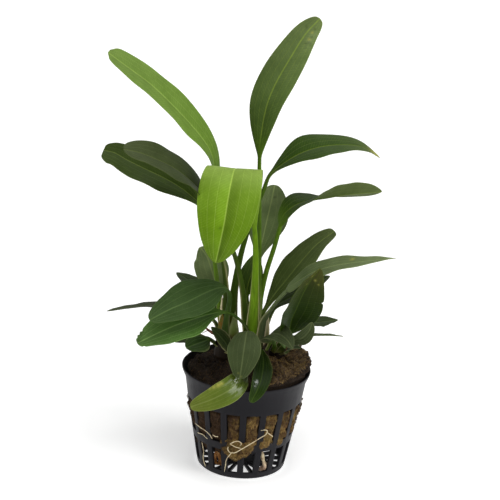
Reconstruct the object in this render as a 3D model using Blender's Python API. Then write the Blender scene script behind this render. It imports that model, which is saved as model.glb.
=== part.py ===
# A potted echinodorus: a rosette of stalked leaves in a round plastic net pot filled with rock wool.
# The pot stands on z = 0 with its axis on z. The leaves' points are in millimetres.
from math import asin, cos, pi, radians, sin, sqrt

import bpy
import numpy as np

MM = 0.001
GAP = 0.3
RIM_Z = 44.0
RIBS = 18
RIB_WIDTH = 3.0
SPOKE_WIDTH = 1.9
WALL = 1.2
# The plants are pressed a little into the wool.
SINK = 1.0
# Where a blade's sections lie, from its foot to its tip.
BLADE_STEPS = (0, 0.1, 0.22, 0.36, 0.52, 0.67, 0.81, 0.92, 0.98, 0.999)

# Each crown is the short stock that its leaves grow from: centre x and y, radius, top and bottom.
CROWNS = {
    "crown_left": dict(at=(-8.5, 3.0), radius=5.0, low=50.6, top=57.0, slot="crown"),
    "crown_right": dict(at=(3.0, -3.5), radius=5.2, low=50.6, top=57.5, slot="crown"),
    "crown_side": dict(at=(12.5, 3.0), radius=3.6, low=50.6, top=55.0, slot="crown"),
}

# stem: the stalk's points, blade: the points along the midrib to the tip. side: the direction across
# the blade at its foot, and side_tip at its end where it twists. half: half the widest width.
LEAVES = {
    "leaf_upper_left": dict(
        crown="crown_left", turn=120, rise=62,
        stem=[(-12, 4, 66), (-14, 1, 80), (-16, 1, 92), (-17.5, 2, 108)],
        blade=[(-17.8, 2, 120), (-18.2, 2, 131), (-20.4, 2, 138.5), (-27, 2, 147), (-37, 0, 157.5),
               (-45.5, -2, 165.5), (-53.5, -4, 171.5), (-59, -6, 175.7), (-62.5, -8, 178.7)],
        half=8.9, widest=0.6, side=(0.2, 0.92, 0.31), fold=10, slot="leaf_light"),
    "leaf_folded_over": dict(
        crown="crown_right", turn=250, rise=60,
        stem=[(2, -6, 66), (2, -6, 77), (1, -6, 95), (0, -5, 107)],
        blade=[(-1.6, -4, 114), (-4.6, -4, 124), (-7.5, -7, 132.5), (-9.5, -12, 135.2),
               (-10.5, -17.2, 132.3), (-11.5, -21, 125), (-12.5, -22.3, 115), (-15, -21.5, 98)],
        half=12.4, widest=0.6, side=(-1, 0, 0.17), side_tip=(-1, 0, -0.16), fold=0, foot=0.8, tip=0.6,
        steps=(0, 0.12, 0.22, 0.3, 0.35, 0.4, 0.45, 0.52, 0.62, 0.73, 0.84, 0.93, 0.98, 0.999),
        slot="leaf_light"),
    "leaf_tallest": dict(
        crown="crown_right", turn=60, rise=66,
        stem=[(4, 0, 66), (4, 1, 75), (2.5, 2, 97), (1, 4, 118), (0.1, 7, 135)],
        blade=[(0.2, 9, 142.3), (0.6, 11, 151), (1.8, 12, 158.7), (4.0, 13, 166.3), (10.2, 14, 177.7),
               (15.8, 15, 186.7), (21.2, 15, 193.2)],
        half=8.2, widest=0.5, side=(0.7, -0.7, -0.2), side_tip=(0.95, 0, -0.3), fold=14,
        tip=0.48, slot="leaf_dark"),
    "leaf_arching_right": dict(
        crown="crown_left", turn=20, rise=64,
        stem=[(-7, 4, 66), (-8, 4, 78), (-5.5, 5, 92), (-2.8, 7, 104), (0, 9, 113), (2.8, 11, 121)],
        blade=[(4.3, 13, 125.4), (6.6, 15, 127.7), (10.8, 18, 130.8), (17.4, 22, 134.2), (26, 27, 136.2),
               (36, 32, 136.3), (44, 35, 135), (52, 37, 130.3)],
        half=9.8, widest=0.52, side=(0.38, -0.9, -0.2), fold=8, foot=2.4, slot="leaf_dark"),
    "leaf_twisted_right": dict(
        crown="crown_right", turn=35, rise=50,
        stem=[(6, 1, 64), (5, 3, 74), (5, 5, 85), (7, 7, 98), (9.3, 9, 104.6)],
        blade=[(10.9, 11, 108), (13.6, 12, 112.2), (17, 14, 115), (24, 18, 116.6), (29.3, 20, 117.1),
               (37.3, 23, 118), (53.4, 28, 118)],
        half=7.4, widest=0.5, side=(0.3, -0.85, -0.56), side_tip=(0.15, -0.47, 0.87), fold=4,
        foot=0.9, tip=0.65, slot="leaf_dark"),
    "leaf_behind_center": dict(
        crown="crown_right", turn=95, rise=52,
        stem=[(2, 3, 66), (2, 6, 75), (2, 11, 84)],
        blade=[(2.8, 16, 92), (4, 20, 98), (5.2, 26, 103.7), (6.4, 32, 109), (7.6, 38, 115)],
        half=8.3, widest=0.6, side=(0.95, -0.1, 0), fold=8, foot=1.6, tip=0.55, slot="leaf_dark"),
    "leaf_back_low": dict(
        crown="crown_right", turn=140, rise=48,
        stem=[(0, 3, 66), (-1.5, 5.5, 74)],
        blade=[(-1.5, 7, 79), (0, 8.5, 85), (1, 11, 92)],
        half=4.9, widest=0.5, side=(1, 0, 0), fold=12, slot="leaf_dark"),
    "leaf_left_front_high": dict(
        crown="crown_left", turn=200, rise=52,
        stem=[(-11.5, 0.5, 64), (-11, -1, 74), (-11, -2, 82), (-12, -3, 91), (-14.5, -5, 102),
              (-18, -7.5, 112)],
        blade=[(-21.9, -9.3, 122.5), (-27.3, -12, 129.3), (-34.6, -17, 135.9), (-41.4, -20, 139.7),
               (-47.3, -22, 142.2), (-53.7, -24, 143.8)],
        half=10.9, widest=0.52, side=(-0.3, 0.86, 0.36), fold=8, foot=0.85, tip=0.5, slot="leaf_dark"),
    "leaf_left_back_high": dict(
        crown="crown_right", turn=180, rise=54,
        stem=[(-1.5, -1, 68), (-3.5, 0, 78), (-5, 1, 88), (-8.3, 2, 96), (-13.7, 3, 104.3),
              (-19.9, 4.5, 111)],
        blade=[(-24.7, 5.5, 115), (-31, 7, 120), (-38.7, 9, 124.5), (-47.3, 11, 127.8),
               (-56, 12.5, 130.2), (-65.5, 14, 132.8)],
        half=10.9, widest=0.56, side=(0.3, 0.9, 0.3), fold=8, tip=0.42, slot="leaf_dark"),
    "leaf_back_left": dict(
        crown="crown_left", turn=90, rise=45,
        stem=[(-10.5, 8, 64), (-12.5, 9.5, 71)],
        blade=[(-15.3, 12, 77.3), (-17.7, 15, 83), (-19.7, 19, 86.5), (-23.1, 23, 89.5)],
        half=7.2, widest=0.52, side=(0.9, 0.3, 0.35), fold=18, slot="leaf_dark"),
    "leaf_left_broad": dict(
        crown="crown_left", turn=235, rise=42,
        stem=[(-11, -1.5, 60), (-9.5, -4, 69), (-9.3, -6, 76)],
        blade=[(-10.5, -8, 79.5), (-13.7, -9.5, 81), (-19, -13, 80.5), (-25.6, -18, 79.3),
               (-32.6, -23, 77.3), (-40.4, -28, 74)],
        half=9.5, widest=0.5, side=(-0.5, 0.73, 0.45), fold=7, tip=0.62, slot="leaf_dark"),
    "leaf_left_front_low": dict(
        crown="crown_right", turn=205, rise=40,
        stem=[(-4, -8, 62), (-5, -10.5, 69), (-7, -12, 72.5)],
        blade=[(-12, -12.7, 73), (-18, -14, 72.3), (-26, -18, 70.5), (-34, -22, 68), (-45.2, -26, 62.8)],
        half=9.3, widest=0.52, side=(-0.35, 0.8, 0.45), fold=8, tip=0.5, slot="leaf_light"),
    "leaf_left_edge_on": dict(
        crown="crown_left", turn=135, rise=30,
        stem=[(-15, 8.5, 61.5), (-23, 9.5, 65)],
        blade=[(-32, 10, 66.2), (-40.5, 9, 66.6), (-51, 6.5, 66.1), (-60.5, 3, 65)],
        half=5.6, widest=0.45, side=(-0.1, 0.93, -0.15), fold=5, slot="leaf_dark"),
    "leaf_back_tip": dict(
        crown="crown_left", turn=105, rise=14,
        stem=[(-11, 11, 60), (-15, 15, 66)],
        blade=[(-20, 19, 69.7), (-26, 24, 72.6), (-33, 30, 74.8)],
        half=5.4, widest=0.5, side=(0.7, 0.7, 0), fold=8, slot="leaf_dark"),
    "leaf_left_small": dict(
        crown="crown_left", turn=205, rise=10,
        stem=[(-16, -2.5, 57)],
        blade=[(-17.5, -4, 57.2), (-21, -7, 56.8), (-25.7, -10, 55.6)],
        half=4.9, widest=0.55, side=(-0.3, 0.8, 0.4), fold=6, tip=0.55, slot="leaf_dark"),
    "leaf_left_small_back": dict(
        crown="crown_left", turn=170, rise=8,
        stem=[(-17, 4.2, 55)],
        blade=[(-20, 4.2, 54.7), (-25, 4, 54), (-31, 3, 52.8)],
        half=3.6, widest=0.5, side=(0.1, 0.93, 0.15), fold=8, slot="leaf_dark"),
    "leaf_left_short": dict(
        crown="crown_left", turn=262, rise=8,
        stem=[(-9.5, -4, 58)],
        blade=[(-11, -5.5, 60), (-14, -6.5, 62.5), (-17, -7.5, 65)],
        half=3.4, widest=0.5, side=(0.3, 0.8, 0.4), fold=10, slot="leaf_dark"),
    "leaf_front_oval": dict(
        crown="crown_right", turn=270, rise=34,
        stem=[(1.5, -11, 62)],
        blade=[(0.5, -13.5, 65.5), (-0.5, -17, 67.5), (-1, -21, 66.5), (-1.5, -26, 62.5), (-2, -29, 57),
               (-2.5, -31, 52)],
        half=6.8, widest=0.58, side=(-1, 0, -0.1), fold=8, foot=0.7, tip=0.6, slot="leaf_dark"),
    "leaf_over_rim_left": dict(
        crown="crown_right", turn=262, rise=5,
        stem=[(1.5, -13, 53.5), (0, -19, 52.5)],
        blade=[(-1, -23, 51.5), (-2.8, -27.7, 49.6), (-6, -31, 47.1), (-10, -32.3, 44.7),
               (-15, -32.3, 41.9), (-22, -31, 38.2)],
        half=5.2, widest=0.5, side=(-0.47, 0.5, 0.7), fold=5, tip=0.55, slot="leaf_light"),
    "leaf_over_rim_right": dict(
        crown="crown_right", turn=300, rise=12,
        stem=[(5.8, -11.5, 57.3)],
        blade=[(6.2, -14.5, 57.6), (6.9, -20, 55.6), (6.6, -26, 52.4), (5.2, -30.5, 48),
               (2.6, -32.5, 42.5)],
        half=4.3, widest=0.55, side=(-0.95, -0.2, 0.2), fold=10, tip=0.65, slot="leaf_dark"),
    "leaf_right_broad": dict(
        crown="crown_right", turn=5, rise=52,
        stem=[(6.9, -2, 64), (7.2, 1, 69.5), (7.7, 4, 74)],
        blade=[(9.4, 6.5, 77.3), (13.8, 10, 83), (19.8, 14, 89.3), (26.8, 18, 95.4), (34.2, 21, 101)],
        half=7.5, widest=0.52, side=(0.35, -0.85, -0.4), fold=10, slot="leaf_dark"),
    "leaf_right_long": dict(
        crown="crown_right", turn=342, rise=42,
        stem=[(8.5, -6, 64), (9, -7, 71), (11.5, -7.5, 77.3), (15.7, -8, 83)],
        blade=[(18.4, -9, 86.8), (23.8, -10, 91.8), (31.5, -12, 96), (39.5, -15, 99.1), (48.3, -18, 101.9),
               (57.5, -21, 104.6)],
        half=7.0, widest=0.42, side=(-0.2, -0.96, -0.05), fold=6, slot="leaf_dark"),
    "leaf_right_boat": dict(
        crown="crown_side", turn=262, rise=34,
        stem=[(14.4, -4.6, 60.5)],
        blade=[(16.8, -8, 65.2), (17.5, -11, 71.4), (19.2, -14, 78), (21.4, -17.5, 86.1), (23.9, -20, 92.6),
               (27.2, -22, 98.6)],
        half=9.0, widest=0.5, side=(0.82, 0.55, 0.1), side_tip=(0.77, 0.48, -0.4), fold=38, foot=1.25,
        tip=0.6, slot="leaf_light"),
    "leaf_right_behind": dict(
        crown="crown_side", turn=100, rise=60,
        stem=[(11.5, 7, 61), (11.5, 10, 67)],
        blade=[(14.4, 13, 70.8), (21, 16, 73.5), (27.4, 19, 77.2), (33.7, 21, 80.6)],
        half=5.8, widest=0.5, side=(0.35, -0.9, -0.2), fold=8, slot="leaf_dark"),
    "leaf_right_dark": dict(
        crown="crown_side", turn=20, rise=40,
        stem=[(18, 4.5, 59.8), (21.2, 6, 61.6)],
        blade=[(24.3, 7.5, 62.8), (27, 9, 63.1), (31, 11, 62.9), (38.1, 13, 63.7)],
        half=4.6, widest=0.5, side=(0.3, -0.95, -0.12), fold=8, slot="leaf_dark"),
    "leaf_right_arch": dict(
        crown="crown_right", turn=332, rise=12,
        stem=[(9.2, -8, 59.5)],
        blade=[(9.2, -12, 63.8), (10.1, -15.6, 66.6), (12.5, -19.3, 67.5), (15, -22, 65.5),
               (16.6, -24, 61.6)],
        half=4.1, widest=0.5, side=(-0.8, -0.6, -0.1), fold=10, tip=0.65, slot="leaf_dark"),
    "leaf_right_round": dict(
        crown="crown_side", turn=285, rise=14,
        stem=[(15.4, -5, 57.5), (17, -10.5, 60.2)],
        blade=[(19.5, -14, 63.9), (21.8, -16, 65.3), (23.9, -18, 68.2), (25.2, -20, 71.6),
               (25.7, -21.2, 74.8)],
        half=2.7, widest=0.5, side=(0.8, -0.1, -0.5), fold=12, foot=0.8, tip=0.55, slot="leaf_light"),
    "leaf_right_edge_on": dict(
        crown="crown_side", turn=345, rise=18,
        stem=[(18, 1.5, 57), (21, 1, 59.5)],
        blade=[(24, 0.5, 60.5), (29, -0.5, 61.5), (35, -1.5, 62.1), (40, -2.5, 62.3)],
        half=3.6, widest=0.45, side=(0, -0.95, 0.28), fold=4, slot="leaf_dark"),
    "leaf_over_wool": dict(
        crown="crown_side", turn=320, rise=0,
        stem=[(17, -1.6, 53.4)],
        blade=[(16.8, -3, 54.6), (18.6, -4.5, 56.2), (20.4, -6, 57.1), (22.3, -7.5, 57.5)],
        half=2.2, widest=0.5, side=(-0.35, -0.9, 0), fold=6, slot="leaf_dark"),
}

# Roots that lie on the outside of the pot: x, z and how far they stand off the wall.
WALL_ROOTS = {
    "root_front": [(-6.2, 3.2, 0.9), (-6.0, 8.2, 0.9), (-5.3, 11.5, 1.0), (-4.2, 13.6, 1.1),
                   (-2.2, 14.5, 1.2), (-0.2, 16.2, 1.2), (2.6, 18.4, 1.2), (5.4, 20.4, 1.1),
                   (8.4, 21.7, 1.1), (9.9, 23.6, 1.2), (9.8, 25.0, 1.4), (8.6, 25.3, 1.5),
                   (7.2, 25.0, 1.4)],
    "root_hook": [(-5.3, 14.7, 1.1), (-5.7, 15.7, 1.2), (-5.4, 17.0, 1.1)],
    "root_loop": [(-0.9, 17.3, 0.9), (-2.6, 17.1, 1.0), (-4.3, 18.2, 1.1), (-4.0, 19.6, 1.1),
                  (-2.6, 20.2, 1.1), (-1.1, 20.4, 1.0)],
    "root_fork": [(11.0, 23.2, 1.0), (12.6, 20.8, 0.9)],
    "root_left_long": [(-20.3, 21.6, 0.9), (-18.0, 21.3, 1.0), (-15.3, 20.8, 1.0), (-13.4, 19.5, 1.0),
                       (-12.5, 18.0, 0.9)],
    "root_left_fork": [(-12.4, 20.3, 1.0), (-11.3, 19.9, 1.0), (-10.0, 20.0, 0.9)],
    "root_left_short": [(-19.0, 17.5, 0.9), (-16.6, 18.3, 1.0), (-14.6, 17.2, 1.0)],
    "root_left_drop": [(-16.9, 14.2, 0.9), (-16.0, 10.0, 0.9), (-15.9, 5.5, 0.9), (-14.8, 2.4, 0.9)],
}
ROOT_RADIUS = 0.42
# A thicker root that hangs inside, below the wool, and the withered stub of an old stalk.
INSIDE_ROOT = [(9.1, -14.9, 12.4), (9.3, -15.0, 9.0), (10.0, -13.9, 5.5), (10.9, -12.3, 2.7)]
INSIDE_ROOT_RADIUS = 0.85
DEAD_STALK = [(-14.2, 0.3, 57.6), (-16.5, 0, 59.0), (-19.6, -0.5, 61.5)]
DEAD_STALK_RADIUS = 0.6

# The wool: corners around it, its height at the front left, the most it may rise to, the clearance
# to the pot, its lowest edge, the heap under the crowns and the chunk piled up at the right.
WOOL = dict(around=22, low=38.5, most=49.0, clear=0.55, bottom=12.3, edge=25.3)
HEAP = dict(x=2, wide=13, deep=11, rise=11.0)
CHUNK = dict(x=7, soft=1.6, rise=10.5, front_y=-13, front_soft=2.0, front_drop=0.45)

COLORS = {
    "pot_black": ((0.022, 0.022, 0.027), 0.45),
    "wool": ((0.13, 0.075, 0.038), 0.95),
    "crown": ((0.24, 0.17, 0.05), 0.6),
    "leaf_dark": ((0.055, 0.105, 0.022), 0.4),
    "leaf_light": ((0.16, 0.30, 0.035), 0.4),
    "root_cream": ((0.68, 0.58, 0.40), 0.6),
    "dead_brown": ((0.17, 0.07, 0.045), 0.8),
}


def make_material(name):
    color, roughness = COLORS[name]
    material = bpy.data.materials.new(name)
    material.use_nodes = True
    shader = material.node_tree.nodes["Principled BSDF"]
    shader.inputs["Base Color"].default_value = (*color, 1)
    shader.inputs["Roughness"].default_value = roughness
    material.diffuse_color = (*color, 1)
    return material


def make_object(name, points, faces, slot):
    mesh = bpy.data.meshes.new(name)
    mesh.from_pydata([tuple(MM * v for v in p) for p in points], [], faces)
    mesh.materials.append(materials[slot])
    mesh.update()
    obj = bpy.data.objects.new(name, mesh)
    bpy.context.scene.collection.objects.link(obj)
    return obj


def unit(vector):
    return vector / np.linalg.norm(vector)


def smooth_line(points, steps):
    """Points evenly spaced along a smooth curve through the given ones, and each given one's fraction."""
    p = np.array(points, float)
    padded = np.vstack([2 * p[0] - p[1], p, 2 * p[-1] - p[-2]])
    fine = []
    for a, b, c, d in zip(padded, padded[1:], padded[2:], padded[3:]):
        # The tangents are scaled by the spans, so uneven spacing makes no loop.
        left, mid, right = (np.linalg.norm(v) for v in (b - a, c - b, d - c))
        out = mid * (c - a) / (left + mid)
        into = mid * (d - b) / (mid + right)
        for t in np.linspace(0, 1, 12, endpoint=False):
            fine.append((2 * t**3 - 3 * t**2 + 1) * b + (t**3 - 2 * t**2 + t) * out
                        + (3 * t**2 - 2 * t**3) * c + (t**3 - t**2) * into)
    fine = np.array(fine + [p[-1]])
    run = np.concatenate([[0], np.cumsum(np.linalg.norm(np.diff(fine, axis=0), axis=1))])
    at = np.array(steps) if np.ndim(steps) else np.linspace(0, 1, steps)
    knots = run[:: 12] / run[-1]
    line = np.stack([np.interp(at * run[-1], run, fine[:, k]) for k in range(3)], axis=1)
    return line, knots


def pot_radius(z):
    """The outer radius of the pot's wall at height z."""
    return float(np.interp(z, [0, 31.5, 39.5, 43.0, RIM_Z], [18.9, 24.6, 25.8, 27.3, 27.5]))


def build_pot():
    # The wall from the lip down and along the bottom to the hub: outer point, inner point, and
    # whether the stretch to the next point is open between the ribs.
    stations = [
        ((27.5, 44.0), (26.3, 44.0), False), ((27.3, 43.0), (26.1, 42.6), False),
        ((25.8, 39.5), (24.6, 39.3), False), ((24.6, 31.5), (23.4, 31.5), True),
        ((22.0, 17.0), (20.8, 17.0), False), ((21.35, 13.5), (20.15, 13.5), True),
        ((19.45, 3.0), (18.25, 3.0), False), ((18.9, 0.5), (17.7, 1.6), False),
        ((18.4, 0.0), (17.3, 1.3), False), ((16.9, 0.0), (16.9, 1.3), True),
        ((5.6, 0.0), (5.6, 1.3), False), ((1.2, 0.0), (1.2, 1.3), False),
    ]
    points = []
    for outer, inner, _ in stations:
        wide = RIB_WIDTH if outer[1] > 1 else SPOKE_WIDTH
        half = min(asin(wide / 2 / outer[0]) if outer[0] > wide else 1, 0.3 * 2 * pi / RIBS)
        for radius, z in (outer, inner):
            for rib in range(RIBS):
                for side in (-1, 1):
                    turn = -pi / 2 + rib * 2 * pi / RIBS + side * half
                    points.append((radius * cos(turn), radius * sin(turn), z))
    columns = 2 * RIBS

    def at(i, inner, j):
        return (2 * i + inner) * columns + j % columns

    def filled(i, j):
        return 0 <= i < len(stations) - 1 and (not stations[i][2] or j % 2 == 0)

    faces = []
    for i in range(len(stations) - 1):
        for j in range(columns):
            if not filled(i, j):
                continue
            a, b, c, d = (at(i, 0, j), at(i, 0, j + 1), at(i + 1, 0, j + 1), at(i + 1, 0, j))
            e, f, g, h = (at(i, 1, j), at(i, 1, j + 1), at(i + 1, 1, j + 1), at(i + 1, 1, j))
            faces += [(d, c, b, a), (e, f, g, h)]
            if not filled(i - 1, j):
                faces.append((a, b, f, e))
            if not filled(i + 1, j) and i + 1 < len(stations) - 1:
                faces.append((c, d, h, g))
            if not filled(i, j - 1):
                faces.append((a, e, h, d))
            if not filled(i, j + 1):
                faces.append((f, b, c, g))
    last = len(stations) - 1
    faces.append(tuple(at(last, 0, j) for j in reversed(range(columns))))
    faces.append(tuple(at(last, 1, j) for j in range(columns)))
    return make_object("net_pot", points, faces, "pot_black")


def step_up(value, soft):
    """A smooth step from 0 to 1 as value passes 0."""
    return 1 / (1 + np.exp(-value / soft))


def wool_top(x, y):
    """Height of the wool: low at the front left, piled up under the crowns and in a chunk at the right."""
    heap = HEAP["rise"] * np.exp(-(((x - HEAP["x"]) / HEAP["wide"]) ** 2 + (y / HEAP["deep"]) ** 2) ** 1.6)
    front = step_up(CHUNK["front_y"] - y, CHUNK["front_soft"])
    chunk = CHUNK["rise"] * step_up(x - CHUNK["x"], CHUNK["soft"]) * (1 - CHUNK["front_drop"] * front)
    lumps = 0.6 * sin(0.9 * x) * sin(0.8 * y + 1) + 0.8 * sin(0.5 * x + 1) * cos(0.45 * y)
    return min(WOOL["low"] + max(heap, chunk) + lumps, WOOL["most"])


def wool_reach(z):
    """How far the wool reaches at height z, clear of the wall."""
    return min(WOOL["edge"], pot_radius(z) - WALL - WOOL["clear"])


def wool_bottom(turn):
    """The height of the wool's lower edge, which hangs unevenly in the pot."""
    return WOOL["bottom"] + 2.4 * cos(2 * (turn + radians(50))) + 0.6 * sin(5 * turn)


def build_wool():
    around = WOOL["around"]
    turns = [2 * pi * j / around for j in range(around)]
    points, faces = [], []
    for part, rise in ((0.35, 1.0), (0.8, -0.4), (1.0, 1.0)):
        for turn in turns:
            z = wool_bottom(turn) + rise
            radius = part * wool_reach(z)
            points.append((radius * cos(turn), radius * sin(turn), z))
    for z in (20.0, 31.5, 37.0):
        points += [(wool_reach(z) * cos(turn), wool_reach(z) * sin(turn), z) for turn in turns]
    for radius in (None, 18.0, 12.0, 6.0):
        for turn in turns:
            spread = radius or 23.6
            z = wool_top(spread * cos(turn), spread * sin(turn))
            # The outermost ring lies against the wall, and over the lip where the wool is piled up.
            reach = radius or wool_reach(z)
            points.append((reach * cos(turn), reach * sin(turn), z))
    levels = len(points) // around
    for i in range(levels - 1):
        for j in range(around):
            k = (j + 1) % around
            faces.append((i * around + j, i * around + k, (i + 1) * around + k, (i + 1) * around + j))
    points += [(0, 0, WOOL["bottom"] - 0.3), (0, 0, wool_top(0, 0))]
    end = (levels - 1) * around
    for j in range(around):
        k = (j + 1) % around
        faces.append((len(points) - 2, k, j))
        faces.append((end + j, end + k, len(points) - 1))
    return make_object("rockwool", points, faces, "wool")


def crown_point(crown, turn, rise, lift):
    """A point on the crown's dome, or lift above it."""
    center = (*crown["at"], crown["low"])
    reach = crown["radius"], crown["radius"], crown["top"] - crown["low"]
    way = (cos(radians(turn)) * cos(radians(rise)), sin(radians(turn)) * cos(radians(rise)),
           sin(radians(rise)))
    return np.array([c + (r + lift) * w for c, r, w in zip(center, reach, way)])


def build_crown(name, crown):
    around, points, faces = 12, [], []
    for rise in (0, 30, 60):
        for j in range(around):
            points.append(crown_point(crown, 360 * j / around, rise, 0))
    for i in range(2):
        for j in range(around):
            k = (j + 1) % around
            faces.append((i * around + j, i * around + k, (i + 1) * around + k, (i + 1) * around + j))
    points.append(crown_point(crown, 0, 90, 0))
    for j in range(around):
        faces.append((2 * around + j, 2 * around + (j + 1) % around, len(points) - 1))
    faces.append(tuple(reversed(range(around))))
    return make_object(name, [p - (0, 0, SINK) for p in points], faces, crown["slot"])


def ring(center, side, up, across, thick, fold):
    """Eight points around one section: a thin blade folded up along its midrib, or a round stalk."""
    found = []
    for k in range(8):
        x, y = cos(k * pi / 4) * across, sin(k * pi / 4) * thick
        found.append(center + side * x * cos(fold) + up * (y + abs(x) * sin(fold)))
    return found


def build_leaf(name, leaf):
    start = crown_point(CROWNS[leaf["crown"]], leaf["turn"], leaf["rise"], 1.25)
    spine = [tuple(start)] + leaf["stem"] + leaf["blade"]
    _, knots = smooth_line(spine, 2)
    foot = knots[len(leaf["stem"])]
    stalk_steps = max(3, min(5, len(leaf["stem"]) + 1))
    steps = list(np.linspace(0, foot, stalk_steps, endpoint=False))
    steps += [foot + (1 - foot) * u for u in leaf.get("steps", BLADE_STEPS)]
    line, _ = smooth_line(spine, steps)
    tangents = np.gradient(line, axis=0)
    side_foot = np.array(leaf["side"], float)
    side_tip = np.array(leaf.get("side_tip", leaf["side"]), float)
    power = np.log(0.5) / np.log(leaf["widest"])
    foot_bend, tip_bend = leaf.get("foot", 1.15), leaf.get("tip", 0.7)
    points = []
    for step, center, tangent in zip(steps, line, tangents):
        tangent = unit(tangent)
        u = max(0.0, (step - foot) / (1 - foot))
        turned = u**0.75
        side = unit(side_foot) * (1 - turned) + unit(side_tip) * turned
        side = unit(side - tangent * side.dot(tangent))
        up = np.cross(side, tangent)
        opening = min(1.0, u * 4)
        bend = foot_bend * (1 - u) + tip_bend * u
        wide = leaf["half"] * sin(pi * u**power) ** bend if 0 < u < 1 else 0
        stalk = 1.05 - 0.35 * min(1, step / foot)
        across = sqrt(wide**2 + (stalk * (1 - 0.72 * u)) ** 2)
        thick = stalk * (1 - opening) + (0.42 - 0.12 * u) * opening
        fold = radians(leaf["fold"]) * opening
        points += ring(center, side, up, across, thick, fold)
    faces = []
    for i in range(len(steps) - 1):
        for j in range(8):
            k = (j + 1) % 8
            faces.append((8 * i + j, 8 * i + 8 + j, 8 * i + 8 + k, 8 * i + k))
    faces.append(tuple(range(8)))
    faces.append(tuple(8 * len(steps) - 1 - j for j in range(8)))
    return make_object(name, [p - (0, 0, SINK) for p in points], faces, leaf["slot"])


def build_tube(name, points, radius, slot, count):
    line, _ = smooth_line(points, count)
    tangents = np.gradient(line, axis=0)
    side, found, faces = np.array([0.3, 0.2, 1.0]), [], []
    for i, (center, tangent) in enumerate(zip(line, tangents)):
        tangent = unit(tangent)
        side = unit(side - tangent * side.dot(tangent))
        up = np.cross(tangent, side)
        narrow = radius * (0.6 if i in (0, count - 1) else 1)
        for j in range(5):
            turn = 2 * pi * j / 5
            found.append(center + narrow * (side * cos(turn) + up * sin(turn)))
    for i in range(count - 1):
        for j in range(5):
            k = (j + 1) % 5
            faces.append((5 * i + j, 5 * i + k, 5 * i + 5 + k, 5 * i + 5 + j))
    faces.append(tuple(reversed(range(5))))
    faces.append(tuple(5 * count - 5 + j for j in range(5)))
    return make_object(name, found, faces, slot)


def on_wall(x, z, lift):
    radius = pot_radius(z) + lift
    return (x, -sqrt(radius**2 - x**2), z)


for old in list(bpy.data.objects):
    bpy.data.objects.remove(old, do_unlink=True)
materials = {name: make_material(name) for name in COLORS}

build_pot()
build_wool()
for name, crown in CROWNS.items():
    build_crown(name, crown)
for name, leaf in LEAVES.items():
    build_leaf(name, leaf)
for name, spots in WALL_ROOTS.items():
    build_tube(name, [on_wall(*spot) for spot in spots], ROOT_RADIUS, "root_cream",
               max(6, 2 * len(spots) - 3))
build_tube("root_inside", INSIDE_ROOT, INSIDE_ROOT_RADIUS, "root_cream", 7)
build_tube("dead_stalk", DEAD_STALK, DEAD_STALK_RADIUS, "dead_brown", 4)
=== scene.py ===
# A potted echinodorus: leaves on long stalks, rooted in rock wool in a slotted net pot.
# Lengths are in millimetres, and mm turns them into metres.
from math import asin, cos, pi, radians, sin, sqrt

import bmesh
import bpy
import numpy as np
from mathutils import Matrix, Vector, noise


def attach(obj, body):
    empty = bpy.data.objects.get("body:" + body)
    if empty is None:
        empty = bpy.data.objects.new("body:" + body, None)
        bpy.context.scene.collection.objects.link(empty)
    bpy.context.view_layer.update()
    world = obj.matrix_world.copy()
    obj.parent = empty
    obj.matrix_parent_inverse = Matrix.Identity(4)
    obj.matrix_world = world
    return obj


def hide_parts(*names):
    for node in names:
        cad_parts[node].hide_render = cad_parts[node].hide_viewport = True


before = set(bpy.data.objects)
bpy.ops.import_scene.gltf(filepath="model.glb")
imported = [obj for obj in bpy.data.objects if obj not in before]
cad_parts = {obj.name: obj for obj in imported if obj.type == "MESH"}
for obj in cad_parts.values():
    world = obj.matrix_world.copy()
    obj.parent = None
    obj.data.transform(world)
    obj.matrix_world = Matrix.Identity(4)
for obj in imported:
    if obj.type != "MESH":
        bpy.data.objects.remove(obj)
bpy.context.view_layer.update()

mm = 0.001
print("frame loaded, nodes:", len(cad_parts))


def rgb(red, green, blue):
    # a colour as a picture editor shows it, 0 to 255
    return tuple((c / 255 / 12.92 if c < 10.5 else ((c / 255 + 0.055) / 1.055) ** 2.4) for c in (red, green, blue))


class Wire:
    # a value on its way through a material: an expression on wires adds its Math nodes
    def __init__(self, paint, socket):
        self.paint = paint
        self.socket = socket

    def math(self, operation, *values):
        return self.paint.node("ShaderNodeMath", {"operation": operation}, dict(enumerate(values)))

    def __add__(self, other):
        return self.math("ADD", self, other)

    def __sub__(self, other):
        return self.math("SUBTRACT", self, other)

    def __rsub__(self, other):
        return self.math("SUBTRACT", other, self)

    def __mul__(self, other):
        return self.math("MULTIPLY", self, other)

    def __truediv__(self, other):
        return self.math("DIVIDE", self, other)

    def __abs__(self):
        return self.math("ABSOLUTE", self)

    __radd__, __rmul__ = __add__, __mul__

    def fraction(self):
        return self.math("FRACT", self)

    def most(self, other):
        return self.math("MAXIMUM", self, other)

    def least(self, other):
        return self.math("MINIMUM", self, other)


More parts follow.
